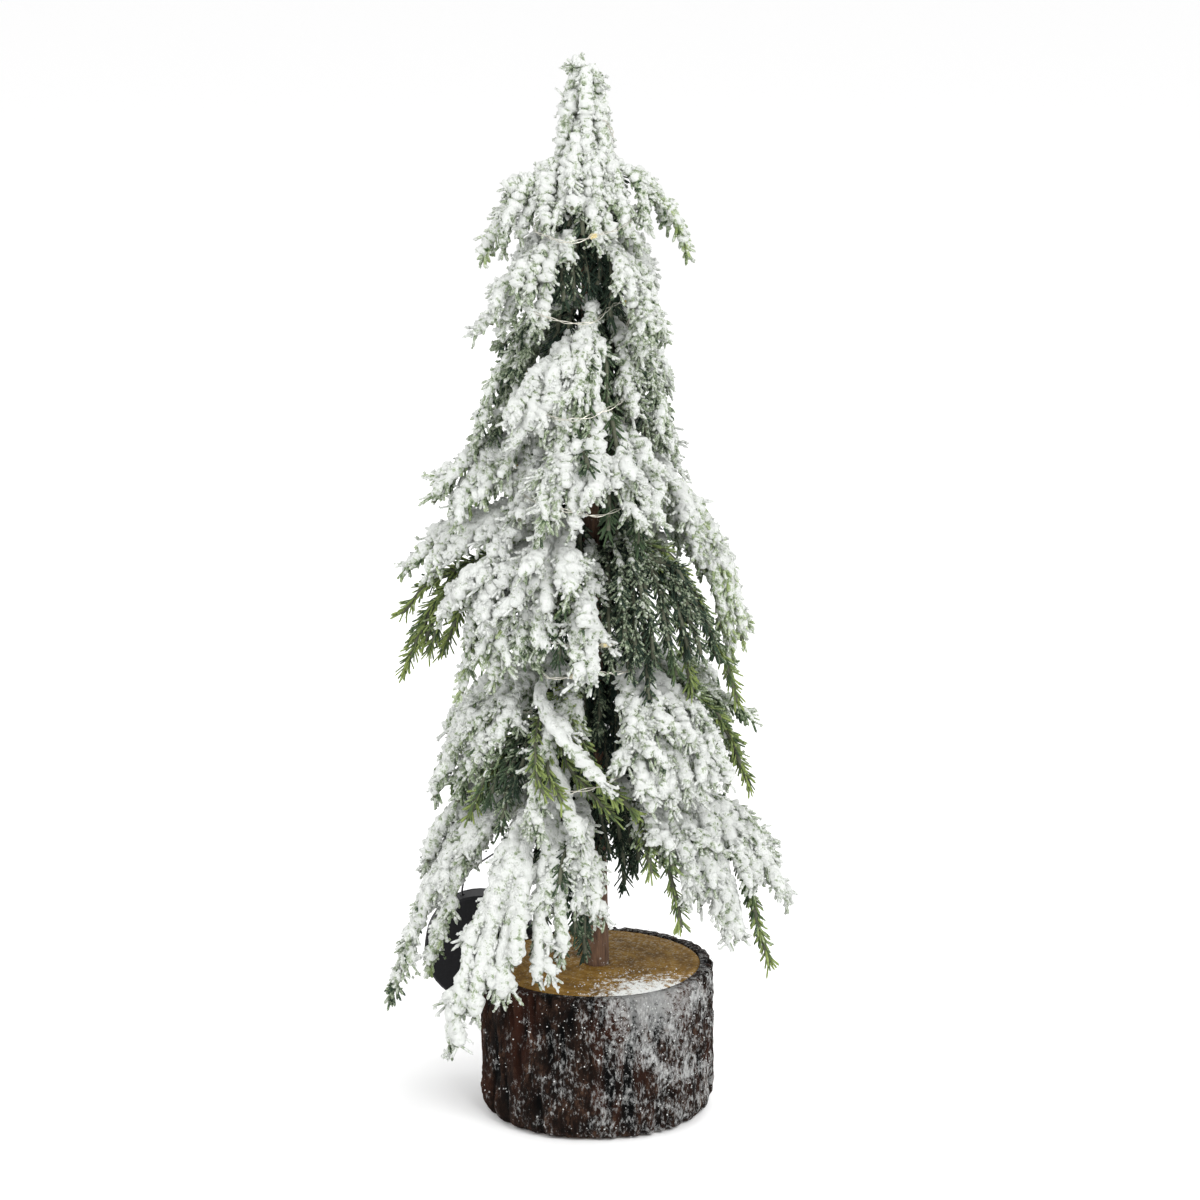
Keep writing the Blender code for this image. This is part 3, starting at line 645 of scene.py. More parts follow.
# Twigs on the boughs at the front: where each ends, in millimetres, then its own flock and
# yellow where they differ from its bough's, then the knee it bends over, if it does. The places
# were picked by eye and a separate script turned them into these millimetres.
LAID = {
    "bough_a1": [(-33, -8, 352, 0.9, 0.1), (-41, -8, 328, 0.8, 0.6), (-34, -10, 331),
        (-28, -12, 335), (-20, -14, 342), (-24, -4, 346)],
    "bough_a2": [(32, -6, 332, 0.75, 0.7), (26, -2, 338), (11, -12, 335), (18, -9, 339),
        (5, -12, 347)],
    "bough_a3": [(-15, -17, 340), (0, -17, 333), (5, -14, 335), (-9, -18, 347),
        (-5, -16, 337, 0.3, 0.1)],
    "bough_b1": [(-25, -24, 310, 0.8, 0.1), (-20, -26, 304, 0.85, 0.1),
        (-27, -20, 314, 0.7, 0.1), (-8, -10, 318, 0.05, 0.05), (-3, -12, 317, 0, 0.05),
        (-12, -16, 313, 0.15, 0.1), (-38, -26, 306), (-32, -22, 306), (-25, -28, 317),
        (-18, -26, 321), (-29, -30, 319), (-10, -22, 328)],
    "bough_b2": [(0, -10, 318, 0, 0.05), (5, -14, 306, 0.1, 0.1), (20, -20, 301), (23, -10, 302),
        (13, -22, 311), (8, -24, 318), (16, -16, 292)],
    "bough_c1": [(-45, -12, 255, 0.7, 0.15), (-38, -8, 258, 0.6, 0.15),
        (-31, -14, 272, 0.6, 0.1), (-35, -6, 295, 0.5, 0.1), (-30, -10, 294, 0.5, 0.1)],
    "bough_c2": [(-32, -33, 271, 1.05, 0.2), (-24, -32, 268, 1.05, 0.2), (-17, -32, 274),
        (-26, -30, 281, 1.05, 0.2), (-10, -30, 287)],
    "bough_c3": [(-13, -34, 258, 0.8, 0.2), (-8, -35, 260, 0.5, 0.3), (0, -35, 255, 1, 0.1),
        (8, -32, 257, 0.15, 0.35), (-3, -36, 266, 0.5, 0.3), (-7, -34, 280)],
    "bough_c4": [(19, -15, 260, 0.45, 0.05), (26, -8, 261), (13, -20, 270),
        (23, -8, 275, 0.6, 0.1), (27, -10, 255)],
    "bough_d1": [(-30, -20, 241, 0.9, 0.1), (-24, -24, 240, 0.9, 0.15),
        (-35, -16, 247, 0.9, 0.15), (-60, -12, 238, 0.85, 0.5), (-51, -16, 236, 0.9, 0.45),
        (-42, -20, 240, 0.9, 0.5), (-55, -8, 244), (-35, -24, 249), (-25, -28, 239, 0.9, 0.3)],
    "bough_d2": [(-15, -42, 237), (-8, -43, 234, 1.05, 0.1), (0, -44, 246, 1.05, 0.1),
        (-20, -40, 243, 0.85, 0.3), (-3, -44, 257, 0.3, 0.2), (-11, -42, 249)],
    "bough_d3": [(4, -38, 233, 0, 0.3), (11, -36, 237), (18, -32, 237), (15, -33, 227, 0.2, 0.3),
        (7, -38, 248), (23, -26, 242)],
    "bough_d4": [(49, -5, 169, 0.8, 0.75, 57, -12, 231), (54, -5, 184, 0.85, 0.7, 51, -12, 231),
        (46, -8, 190, 0.8, 0.6, 46, -12, 231), (39, -10, 212, 0.8, 0.6), (34, -12, 231),
        (51, -3, 199)],
    "bough_e1": [(-28, -34, 236, 1.05, 0.1), (-39, -28, 220, 1.05, 0.1),
        (-69, -8, 212, 0.85, 0.55), (-62, -14, 211, 0.9, 0.5), (-52, -18, 218), (-58, -6, 224),
        (-43, -22, 224), (-32, -30, 228)],
    "bough_e2": [(-64, -6, 184, 0.15, 0.85), (-58, -8, 179, 0.15, 0.8),
        (-73, -4, 194, 0.12, 0.8), (-72, -6, 172, 0.12, 0.9), (-63, -8, 180, 0.1, 0.75),
        (-53, -12, 191, 0.1, 0.7), (-66, 0, 202, 0.15, 0.8), (-58, -6, 200, 0.1, 0.6),
        (-68, -4, 184, 0.15, 0.8)],
    "bough_e3": [(-43, -30, 187, 0.85, 0.5), (-35, -34, 186, 0.9, 0.4),
        (-28, -38, 185, 0.8, 0.3), (-22, -42, 190, 0.9, 0.2), (-48, -28, 190, 0.8, 0.5),
        (-35, -38, 211, 1.1, 0.1), (-22, -44, 220, 1.1, 0.1), (-13, -46, 213, 1.1, 0.3),
        (-50, -30, 209, 1.1, 0.1), (-55, -30, 201, 1.1, 0.2), (-50, -26, 169, 0.85, 0.6),
        (-38, -32, 175, 0.8, 0.6), (-28, -38, 185, 0.6, 0.3), (-18, -46, 204, 1.1, 0.2),
        (-46, -28, 186, 0.2, 0.7), (-8, -46, 214, 1, 0.5), (-30, -42, 205, 1.1, 0.2),
        (-43, -36, 202, 1.1, 0.2)],
    "bough_e4": [(-2, -49, 178, 1, 0.1), (-8, -48, 186, 0.8, 0.2), (-5, -52, 200),
        (-14, -44, 186, 0.15, 0.2), (-19, -42, 192, 0.1, 0.3), (-12, -48, 206, 0.5, 0.5)],
    "bough_e5": [(19, -34, 169, 0.3, 0.05), (34, -26, 184, 0.35, 0.05),
        (12, -38, 179, 0.35, 0.05), (39, -22, 195, 0.25, 0.05), (45, -18, 179, 0.3, 0.15),
        (52, -14, 163, 0.2, 0.7), (35, -24, 168, 0.15, 0.8), (21, -36, 183, 0.3, 0.1),
        (14, -40, 187, 0.35, 0.05), (5, -42, 182, 0.35, 0.1), (8, -40, 208, 0.45, 0.05),
        (13, -34, 218, 0.45, 0.05), (26, -30, 190, 0.4, 0.05), (32, -14, 212, 0.35, 0.8),
        (10, -42, 193, 0.4, 0.1), (38, -26, 184, 0.35, 0.1), (17, -40, 204, 0.5, 0),
        (29, -30, 177, 0.25, 0.4)],
    "bough_f1": [(-43, -20, 138, 0.8, 0.4), (-57, -12, 134, 0.9, 0.3), (-54, -14, 143, 0.9, 0.5),
        (-61, -8, 124, 0.95, 0.3), (-52, -14, 124, 0.7, 0.4), (-47, -20, 137, 0.8, 0.5),
        (-50, -14, 153, 0.9, 0.5), (-36, -28, 150)],
    "bough_f2": [(-48, -24, 120, 0.2, 0.8), (-40, -28, 128, 0.1, 0.25),
        (-36, -30, 117, 0.4, 0.2), (-31, -33, 133, 0.05, 0.1), (-43, -26, 134, 0.4, 0.4),
        (-44, -22, 125, 0.5, 0.6)],
    "bough_f3": [(-3, -15, 134, 0, 0), (-9, -15, 144, 0, 0), (4, -15, 137, 0, 0),
        (-5, -12, 147, 0, 0), (1, -12, 146, 0, 0), (14, -38, 127, 0.25, 0.85, -19, -40, 165),
        (3, -52, 141, 1.1, 0.3, -39, -34, 178), (6, -40, 126, 0.15, 0.8, -28, -36, 158),
        (-13, -48, 134, 0.15, 0.8, -28, -34, 157), (-19, -48, 137, 0.2, 0.85, -32, -34, 157),
        (-5, -46, 117, 1, 0.2, -30, -38, 155), (-25, -44, 122, 0.8, 0.3),
        (7, -42, 133, 0.3, 0.8, -21, -38, 162)],
    "bough_f4": [(6, -15, 146, 0, 0), (7, -18, 141, 0, 0), (9, -10, 146, 0, 0),
        (4, -8, 153, 0, 0), (16, -44, 135, 1, 0.1), (24, -40, 132, 1, 0.2),
        (34, -32, 130, 1, 0.2), (44, -26, 133, 1.05, 0.2), (40, -28, 142, 1, 0.2),
        (25, -40, 157, 0.9, 0.2), (13, -42, 156, 0.8, 0.1), (20, -40, 127, 1, 0.2),
        (28, -36, 127, 1, 0.2), (39, -28, 132, 1, 0.25), (49, -22, 133, 1, 0.2),
        (11, -44, 146, 0.95, 0.1), (34, -34, 152), (19, -44, 149, 0.9, 0.1), (44, -24, 149)],
    "bough_f5": [(57, -10, 130, 0.2, 0.8), (52, -10, 145, 0.3, 0.8), (46, -14, 156, 0.15, 0.7),
        (54, -4, 156, 0.6, 0.4), (38, -22, 166, 0.5, 0.5), (52, -8, 137, 0.5, 0.6)],
    "bough_g1": [(-48, -16, 98, 1, 0.1), (-64, -8, 99, 1.05, 0.1), (-53, -12, 94, 0.9, 0.3),
        (-59, -4, 108, 1, 0.1), (-57, -10, 100, 1, 0.1), (-44, -20, 107)],
    "bough_g2": [(-68, -18, 77, 1.05, 0.3), (-73, -22, 60, 1, 0.3), (-63, -26, 63, 0.8, 0.5),
        (-78, -20, 49, 0.6, 0.1), (-59, -20, 86, 1, 0.3)],
    "bough_g3": [(-54, -54, 42, 1.05, 0.1), (-45, -54, 53, 1, 0.4), (-35, -54, 60, 1, 0.4),
        (-22, -52, 66, 1.1, 0.1), (-13, -48, 74, 0.9, 0.3), (-30, -54, 73, 1, 0.2),
        (-42, -50, 65, 1, 0.3), (-39, -48, 77, 1, 0.2), (-36, -44, 93)],
    "bough_g4": [(-6, -40, 88, 1, 0.1), (-3, -42, 96, 1, 0.1), (-9, -44, 111, 1, 0.1),
        (-1, -42, 88, 1, 0.1), (-13, -44, 76, 0.05, 0.2), (-8, -42, 82, 0.1, 0.2),
        (-18, -46, 94, 0.9, 0.2), (-4, -44, 103), (-14, -46, 102, 0.2, 0.2)],
    "bough_g5": [(38, -26, 92, 1.05, 0.1), (44, -24, 97, 1.05, 0.1), (35, -30, 99, 1, 0.1),
        (28, -34, 111, 1, 0.1), (21, -36, 113, 0.8, 0.3), (40, -28, 110, 1, 0.1),
        (31, -32, 81, 0.05, 0.75), (20, -36, 103, 0.15, 0.75), (36, -28, 95, 1, 0.2),
        (28, -34, 105, 0.5, 0.5), (43, -22, 91, 1, 0.2), (35, -28, 106)],
    "bough_g6": [(47, -20, 86, 1, 0.1), (56, -14, 93, 1, 0.1), (61, -10, 92, 1, 0.1),
        (68, -8, 90, 1, 0.1), (50, -18, 73, 1, 0.1), (65, -12, 60, 0.35, 0.75),
        (53, -16, 70, 1.05, 0.1), (72, -6, 82, 1.05, 0.1), (66, -4, 101, 0.7, 0.3),
        (39, -20, 85, 1, 0.1), (60, -10, 78, 0.3, 0.4), (49, -18, 87, 1, 0.1),
        (56, -8, 103, 0.5, 0.2)],
}


def bent_line(start, middle, end, steps):
    """Points along a drooping wire that starts towards middle and ends at end."""
    line = []
    for step in range(steps + 1):
        t = step / steps
        line.append(start * (1 - t) ** 2 + middle * 2 * t * (1 - t) + end * t * t)
    return line


def twig_to(stem, bearing, reach, end, knee, chance):
    """A twig that leaves the bough's wire, runs out level towards its knee and droops to end."""
    away = end - stem[0]
    flat = math.hypot(away.x, away.y)
    turn = math.atan2(away.y, away.x) - bearing
    turn = abs((turn + math.pi) % (2 * math.pi) - math.pi)
    begin = 0.55 * min(1.0, flat / reach) * max(0.0, 1 - turn / 1.0) + chance.uniform(0.0, 0.08)
    if knee:
        line = bent_line(stem[1], Vector(knee) * MM, end, 18)
    else:
        start = stem[min(12, round(begin * 16))]
        knee = start.lerp(end, 0.58)
        knee.z = start.z - 0.15 * (start.z - end.z) + 1.5 * MM
        line = bent_line(start, knee, end, 18)
    drift = Vector([chance.uniform(0, 50) for axis in range(3)])
    return [at + noise.noise_vector(at * 60 + drift) * 3.0 * MM * math.sin(math.pi * i / 18)
            for i, at in enumerate(line)]


def fan_ends(root, bearing, reach, drop, chance):
    """Where the twigs of a plain bough end: an even fan."""
    ends = []
    for across in (-1.0, -0.66, -0.33, 0.0, 0.33, 0.66, 1.0):
        across += chance.uniform(-0.12, 0.12)
        turn = bearing + math.radians(31) * across
        away = reach * (0.78 + 0.22 * (1 - abs(across)) + chance.uniform(-0.12, 0.03))
        fall = drop * (0.88 + chance.uniform(-0.16, 0.14))
        ends.append(root + Vector((math.cos(turn) * away, math.sin(turn) * away, fall)))
    return ends


def sheltered_ends(root, bearing, reach, drop, chance):
    ends = []
    for across in (-1.0, 0.0, 1.0):
        turn = bearing + math.radians(46) * across + chance.uniform(-0.15, 0.15)
        away = reach * chance.uniform(0.20, 0.36)
        fall = max(24 * MM, -0.75 * drop) * chance.uniform(0.8, 1.1)
        ends.append(root + Vector((math.cos(turn) * away, math.sin(turn) * away, -fall)))
    return ends


ROPE_RINGS = 54
ROPE_SEED = seed_shape("rope_seed", 11, ROPE_RINGS)
SPRIG_RINGS = 11
SPRIG_SEED = seed_shape("sprig_seed", 8, SPRIG_RINGS)


def twig_frames(line, count):
    """Evenly spaced (spot, way, flat, upper) along a line: which way it runs and its sides."""
    lengths = [(b - a).length for a, b in zip(line, line[1:])]
    frames = []
    for number in range(count + 1):
        wanted, index = sum(lengths) * number / count, 0
        while index < len(lengths) - 1 and wanted > lengths[index]:
            wanted -= lengths[index]
            index += 1
        way = (line[index + 1] - line[index]).normalized()
        flat = way.cross(Vector((0, 0, 1)))
        flat = flat.normalized() if flat.length > 0.05 else Vector((1, 0, 0))
        frames.append((line[index].lerp(line[index + 1], min(1, wanted / lengths[index])),
                       way, flat, flat.cross(way)))
    return frames, sum(lengths)


def side_sprigs(line, chance):
    """Short side shoots along a twig, turned forward and a little down."""
    frames, total = twig_frames(line, 20)
    sprigs = []
    for share in (8, 11, 14, 17):
        at, way, flat, upper = frames[share]
        if chance.random() < 0.35 + 3.6 * max(0.0, at.z - 0.23) or total < 25 * MM:
            continue
        side = flat * chance.choice((-1, 1)) * chance.uniform(0.5, 0.85)
        heading = (way + side + upper * chance.uniform(-0.2, 0.3)).normalized()
        long = chance.uniform(7, 12) * MM
        end = at + heading * long - Vector((0, 0, 1.5 * MM))
        sprigs.append(bent_line(at, at + heading * long * 0.6, end, 5))
    return sprigs


def add_rope(bm, seed, rings, line, radius, depth, tone, chance):
    """A soft, lumpy coat of flock along a twig, thickest on top; its colour is whiter on top and
    greener in its creases, partly for the flock and partly as painted light and shade.
    """
    mesh, corners = seed
    frames, _ = twig_frames(line, rings)
    drift = Vector([chance.uniform(0, 50) for axis in range(3)])
    places, colours_and_shades = [], []
    for corner in corners:
        ring = round(math.acos(max(-1.0, min(1.0, corner.z))) / math.pi * rings)
        at, way, flat, upper = frames[ring]
        round_off = min(1.0, math.sqrt(ring / 4), math.sqrt((rings - ring) / 4))
        turn = math.atan2(corner.y, corner.x)
        aside = flat * math.cos(turn) + upper * math.sin(turn)
        spot = at + aside * radius * 0.75 * round_off
        puff = (1.3 * abs(noise.noise(spot * 330 + drift))
                + 0.6 * abs(noise.noise(spot * 800)))
        swell = 1.1 + 0.9 * noise.noise(at * 80 + drift)
        sky = math.sin(turn) * (0.4 + 0.6 * max(0, upper.z))
        if 0 < ring < rings:
            spot += aside * (PUFF * puff * swell * min(1, radius / (1.5 * MM)) * round_off)
            spot += upper * radius * 0.25
        places.extend(spot)
        # Painted light and shade with the flock: the creases (low puff) and the underside get less
        # white, the upper side more.
        flock_and_shade = 0.95 * depth - 1.05 + 2.0 * min(puff, 0.6) + 0.35 * sky
        colours_and_shades.extend((tone, flock_and_shade, 0, 1))
    mesh.vertices.foreach_set("co", places)
    mesh.attributes["dye"].data.foreach_set("color", colours_and_shades)
    bm.from_mesh(mesh)


def dressed_twigs(name, lines, coats, chance):
    """Needles set round every line and swept forward, in a rope of flock where depth is high."""
    bm = bmesh.new()
    bm.verts.layers.float_color.new("dye")
    shoots = []
    for line, (depth, yellow) in zip(lines, coats):
        shoots.append((line, depth, yellow, ROPE_SEED, ROPE_RINGS, ROPE_R))
        for sprig in side_sprigs(line, chance) if depth > 0.5 else ():
            shoots.append((sprig, depth, yellow, SPRIG_SEED, SPRIG_RINGS, ROPE_R * 0.85))
    for line, depth, yellow, seed, rings, radius in shoots:
        if depth > 0.32:
            radius *= min(1.1, (depth - 0.25) / 0.75) * chance.uniform(0.75, 1.1)
            add_rope(bm, seed, rings, line, radius, depth, yellow * 0.8, chance)
        frames, total = twig_frames(line, 60)
        width = NEEDLE_R + FLOCK_R * min(depth, 0.8)
        for number in range(int(total / MM * (2.9 - 1.9 * min(depth, 1)))):
            along = chance.uniform(0.03, 1.0)
            at, way, flat, upper = frames[round(along * 60)]
            roll = chance.uniform(-math.pi, math.pi)
            aside = (flat * math.cos(roll) + upper * math.sin(roll) * 0.75).normalized()
            sweep = math.radians(chance.uniform(28, 50)) * (1 - 0.4 * max(0, along - 0.9) / 0.1)
            heading = way * math.cos(sweep) + aside * math.sin(sweep)
            size = NEEDLE_L * chance.uniform(0.7, 1.1) * min(1, 0.65 + 2 * along)
            tone = yellow * chance.uniform(0.45, 1.35) + 0.45 * yellow * max(0, along - 0.6)
            # Painted light and shade with the flock: needles facing up are given more white, those
            # facing down less.
            sky = aside.dot(upper) * (0.5 + 0.5 * max(0, upper.z))
            flock_and_shade = 1.15 * depth - 0.45 + 0.30 * sky + chance.uniform(-0.20, 0.16)
            flock_and_shade -= 0.9 * yellow * max(0, along - 0.78) / 0.22 * max(0, 1.1 - depth)
            if chance.random() < 0.10:
                flock_and_shade -= 0.35
            # Each needle's foot is given a much lower value than its body: painted shade by the
            # twig.
            add_grain(bm, NEEDLE_SEED, at + heading * size * 0.5, heading,
                      width * chance.uniform(0.8, 1.15), size, tone,
                      (flock_and_shade - 0.8 + 0.35 * depth, flock_and_shade, flock_and_shade - 0.12), chance)
            clumps = max(0.0, depth - 0.35 + 0.3 * sky) * 1.9
            while clumps > chance.random():
                clumps -= 1
                lump = chance.uniform(0.42, 0.72 + 0.3 * depth) * MM
                spot = at + heading * size * chance.uniform(0.35, 1.0)
                spot += Vector([chance.gauss(0, 0.45) * MM for axis in range(3)])
                tilt = Vector([chance.gauss(0, 1) for axis in range(3)]).normalized()
                # A clump's foot is painted a little darker as shade.
                white = flock_and_shade + chance.uniform(0.0, 0.25)
                add_grain(bm, GRAIN_SEED, spot, tilt, lump, lump * 2, tone,
                          (white - 0.2, white, white), chance)
    mesh = bpy.data.meshes.new(name)
    bm.to_mesh(mesh)
    bm.free()
    mesh.shade_smooth()
    made = bpy.data.objects.new(name, mesh)
    bpy.context.scene.collection.objects.link(made)
    mesh.materials.append(needle_finish)
    return made


joints = {joint["child"]: joint for joint in frame["joints"]}
for body in sorted(joints):
    if not body.startswith("bough_"):
        continue
    joint = joints[body]
    chance = random.Random(body)
    root = Vector(joint["pos_m"])
    bearing = math.atan2(joint["axis"][0], -joint["axis"][1])
    out = Vector((math.cos(bearing), math.sin(bearing), 0))
    corners = [vert.co.copy() for vert in frame["nodes"][body].data.vertices]
    tip = max(corners, key=lambda corner: (corner - root).length)
    reach = (tip - root).dot(out) - 3 * MM
    drop = tip.z - root.z + 2 * MM
    depth, yellow = DRESSING.get(body, PLAIN)
    stem = bent_line(root, root + out * reach / 2 + Vector((0, 0, BEND_RISE)),
                     root + out * reach + Vector((0, 0, drop)), 16)
    lines, coats = [stem[:13]], [(depth * 0.9, yellow)]
    for laid in LAID.get(body, ()):
        end = Vector(laid[:3]) * MM
        lines.append(twig_to(stem, bearing, reach, end, laid[5:], chance))
        coats.append(laid[3:5] or (depth + chance.uniform(-0.08, 0.06), yellow))
    if body not in LAID:
        for end in fan_ends(root, bearing, reach, drop, chance):
            lines.append(twig_to(stem, bearing, reach, end, None, chance))
            coats.append((depth + chance.uniform(-0.1, 0.06), yellow))
    for end in sheltered_ends(root, bearing, reach, drop, chance):
        lines.append(twig_to(stem, bearing, reach, end, None, chance))
        coats.append((depth * chance.uniform(-0.1, 0.4), yellow * 0.3))

    twigs = wire_curve(body + "_twigs",
                       [[(point, 1.0) for point in line] for line in lines], 0.9 * MM, 1)
    twigs.data.materials.append(stem_finish)
    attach(twigs, body)
    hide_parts(body)

    needles = dressed_twigs(body + "_needles", lines, coats, chance)
    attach(needles, body)


# Leader ----------------------------------------------------------------------------------
# The tip of the tree: one upright twig with short drooping ones round it, the lower ones long
# enough to hang over the first row of boughs.

leader_low, leader_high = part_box("leader")
leader_mid = (leader_low + leader_high) / 2
chance = random.Random("leader")
foot = Vector((leader_mid.x, leader_mid.y, leader_low.z))
top = Vector((leader_mid.x - 0.3 * MM, leader_mid.y, leader_high.z - 4 * MM))
lines = [[foot.lerp(top, i / 10) for i in range(11)],
         [top + Vector((-5, -1, 1)) * MM * (i / 6) for i in range(7)]]
# Height of the start, fall and spread of each ring of twigs, in millimetres.
for high, fall, spread, count in ((28, 17, 6.5, 5), (20, 22, 8, 6), (10, 25, 10, 7),
                                  (4, 26, 13, 7)):
    for number in range(count):
        turn = 2 * math.pi * (number + chance.uniform(0.2, 0.8)) / count
        side = Vector((math.cos(turn), math.sin(turn), 0))
        start = foot + Vector((0, 0, high * MM))
        end = start + side * spread * MM - Vector((0, 0, fall * chance.uniform(0.85, 1.1) * MM))
        lines.append(bent_line(start, start + side * spread * 0.8 * MM, end, 8))
twigs = wire_curve("leader_twigs", [[(point, 0.8) for point in line] for line in lines],
                   0.9 * MM, 1)
twigs.data.materials.append(stem_finish)
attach(twigs, "leader")
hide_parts("leader")
coats = [(chance.uniform(0.80, 1.0), 0.10) for line in lines]
needles = dressed_twigs("leader_needles", lines, coats, chance)
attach(needles, "leader")
for seed in (NEEDLE_SEED, GRAIN_SEED, ROPE_SEED, SPRIG_SEED):
    bpy.data.meshes.remove(seed[0])


# Light string ----------------------------------------------------------------------------
# Two bare silvered wires, lacquered and laid side by side with a loose twist, carry a row of
# clear resin drops, each with a small yellow lamp chip inside.  It is wound down the trunk.

silver, silver_tree, silver_shader = new_finish("silvered_wire", 0.28, 1.0)
silver_place = add_node(silver_tree, "ShaderNodeTexCoord").outputs["Object"]
silver_dull = add_node(silver_tree, "ShaderNodeTexNoise", {"Vector": silver_place,
                                                           "Scale": 500.0, "Detail": 3.0})
silver_tone = add_node(silver_tree, "ShaderNodeValToRGB", {"Fac": silver_dull.outputs["Fac"]})
silver_tone.color_ramp.elements[0].color = (0.42, 0.39, 0.32, 1)
silver_tone.color_ramp.elements[1].color = (0.86, 0.84, 0.76, 1)
silver_tree.links.new(silver_tone.outputs["Color"], silver_shader.inputs["Base Color"])

resin, resin_tree, resin_shader = new_finish("clear_resin", 0.12)
resin_shader.inputs["Transmission Weight"].default_value = 0.75
resin_place = add_node(resin_tree, "ShaderNodeTexCoord").outputs["Object"]
resin_cloud = add_node(resin_tree, "ShaderNodeTexNoise", {"Vector": resin_place,
                                                          "Scale": 600.0, "Detail": 2.0})
resin_tone = add_node(resin_tree, "ShaderNodeValToRGB", {"Fac": resin_cloud.outputs["Fac"]})
resin_tone.color_ramp.elements[0].color = (0.85, 0.78, 0.52, 1)
resin_tone.color_ramp.elements[1].color = (0.97, 0.94, 0.80, 1)
resin_tree.links.new(resin_tone.outputs["Color"], resin_shader.inputs["Base Color"])

chip, chip_tree, chip_shader = new_finish("lamp_chip", 0.4)
chip_place = add_node(chip_tree, "ShaderNodeTexCoord").outputs["Object"]
chip_mottle = add_node(chip_tree, "ShaderNodeTexNoise", {"Vector": chip_place, "Scale": 1500.0})
chip_tone = add_node(chip_tree, "ShaderNodeValToRGB", {"Fac": chip_mottle.outputs["Fac"]})
chip_tone.color_ramp.elements[0].color = (0.70, 0.50, 0.06, 1)
chip_tone.color_ramp.elements[1].color = (0.90, 0.72, 0.16, 1)
chip_tree.links.new(chip_tone.outputs["Color"], chip_shader.inputs["Base Color"])

# Bearing in degrees, distance from the trunk's axis and height above the log in millimetres.
STRING = [
    (318, 10, 321), (345, 10, 318), (20, 11, 313), (40, 12, 305), (60, 13, 295),
    (90, 17, 288), (125, 18, 287), (160, 18, 287), (196, 18, 286), (230, 21, 286),
    (262, 24, 286), (300, 20, 286), (340, 18, 286), (380, 18, 286), (415, 17, 286),
    (440, 14, 282), (453, 12, 272), (466, 14, 262),
    (490, 20, 258), (525, 21, 258), (560, 21, 258), (595, 22, 258), (630, 21, 258),
    (665, 19, 257), (688, 17, 256), (704, 16, 255), (716, 15, 252), (728, 13, 242), (740, 15, 230),
    (765, 24, 226), (800, 25, 226), (835, 25, 226), (870, 25, 226), (905, 26, 225),
    (940, 25, 222), (972, 22, 222), (1005, 21, 223), (1035, 19, 223), (1060, 17, 223),
    (1080, 17, 221),
    (1095, 15, 216), (1107, 13, 204), (1120, 17, 194),
    (1145, 27, 191), (1180, 28, 191), (1215, 28, 191), (1250, 28, 192), (1285, 28, 190),
    (1320, 28, 190), (1355, 27, 188), (1390, 27, 185), (1415, 22, 179), (1430, 18, 172),
    (1438, 15, 162), (1448, 18, 151),
    (1475, 27, 147), (1510, 28, 146), (1545, 28, 144), (1580, 29, 142), (1615, 29, 141),
    (1650, 29, 141), (1685, 28, 140), (1720, 28, 139), (1755, 28, 138), (1790, 28, 136),
    (1830, 29, 134), (1870, 29, 133), (1910, 29, 131), (1945, 29, 130), (1980, 29, 129),
    (2015, 29, 128), (2050, 29, 128), (2085, 29, 128), (2120, 27, 127), (2150, 20, 124),
    (2162, 14, 115), (2172, 14, 104), (2184, 19, 97),
    (2210, 29, 94), (2245, 30, 94), (2280, 30, 94), (2315, 30, 95), (2350, 30, 94),
    (2375, 30, 87), (2390, 30, 83), (2412, 30, 84), (2440, 30, 90), (2475, 30, 94),
    (2505, 27, 93), (2522, 19, 88), (2531, 15, 78), (2540, 16, 66),
    (2565, 21, 58), (2600, 22, 56), (2635, 22, 54), (2665, 24, 52),
]
STRAND_R = 0.17 * MM
STRAND_GAP = 0.34 * MM
TWIST_PITCH = 14 * MM
DROP_PITCH = 100 * MM
DROP_R = 1.3 * MM
DROP_L = 5.0 * MM
LEAN = math.radians(0.75)

PULLED_OUT = 19 * MM

string_route = []
for bearing, away, height in STRING:
    turn = math.radians(bearing)
    # Slack is pulled out between the boughs at the front, where the lights are to be seen.
    front = (bearing - 262 + 180) % 360 - 180
    slack = PULLED_OUT / MM * max(0.0, math.cos(math.radians(front * 2.0))) if abs(front) < 45 else 0
    away, height = away + slack, height - 0.25 * slack
    string_route.append(Vector((math.cos(turn) * away * MM - math.tan(LEAN) * height * MM,
                                math.sin(turn) * away * MM, LOG_H + height * MM)))
string_points, string_length = along_route(string_route, 1.0 * MM)
string_step = string_length / (len(string_points) - 1)
strands = [[], []]
for index, point in enumerate(string_points):
    before, after = string_points[max(index - 1, 0)], string_points[min(index + 1,
                                                                        len(string_points) - 1)]
    way = (after - before).normalized()
    flat = way.cross(Vector((0, 0, 1))).normalized()
    upper = flat.cross(way)
    spread = STRAND_GAP * (1.0 + 1.6 * max(0.0, noise.noise(point * 60)))
    stray = 2.2 * MM * noise.noise_vector(point * 55)
    angle = 2 * math.pi * index * string_step / TWIST_PITCH
    aside = (flat * math.cos(angle) + upper * math.sin(angle)) * spread
    ease = min(1.0, (len(string_points) - 1 - index) / 20)
    strands[0].append((point + stray * ease + aside, 1.0))
    strands[1].append((point + stray * ease - aside, 1.0))
wires = wire_curve("light_wires", strands, STRAND_R, 1)
wires.data.materials.append(silver)
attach(wires, "tree")
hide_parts("light_string")

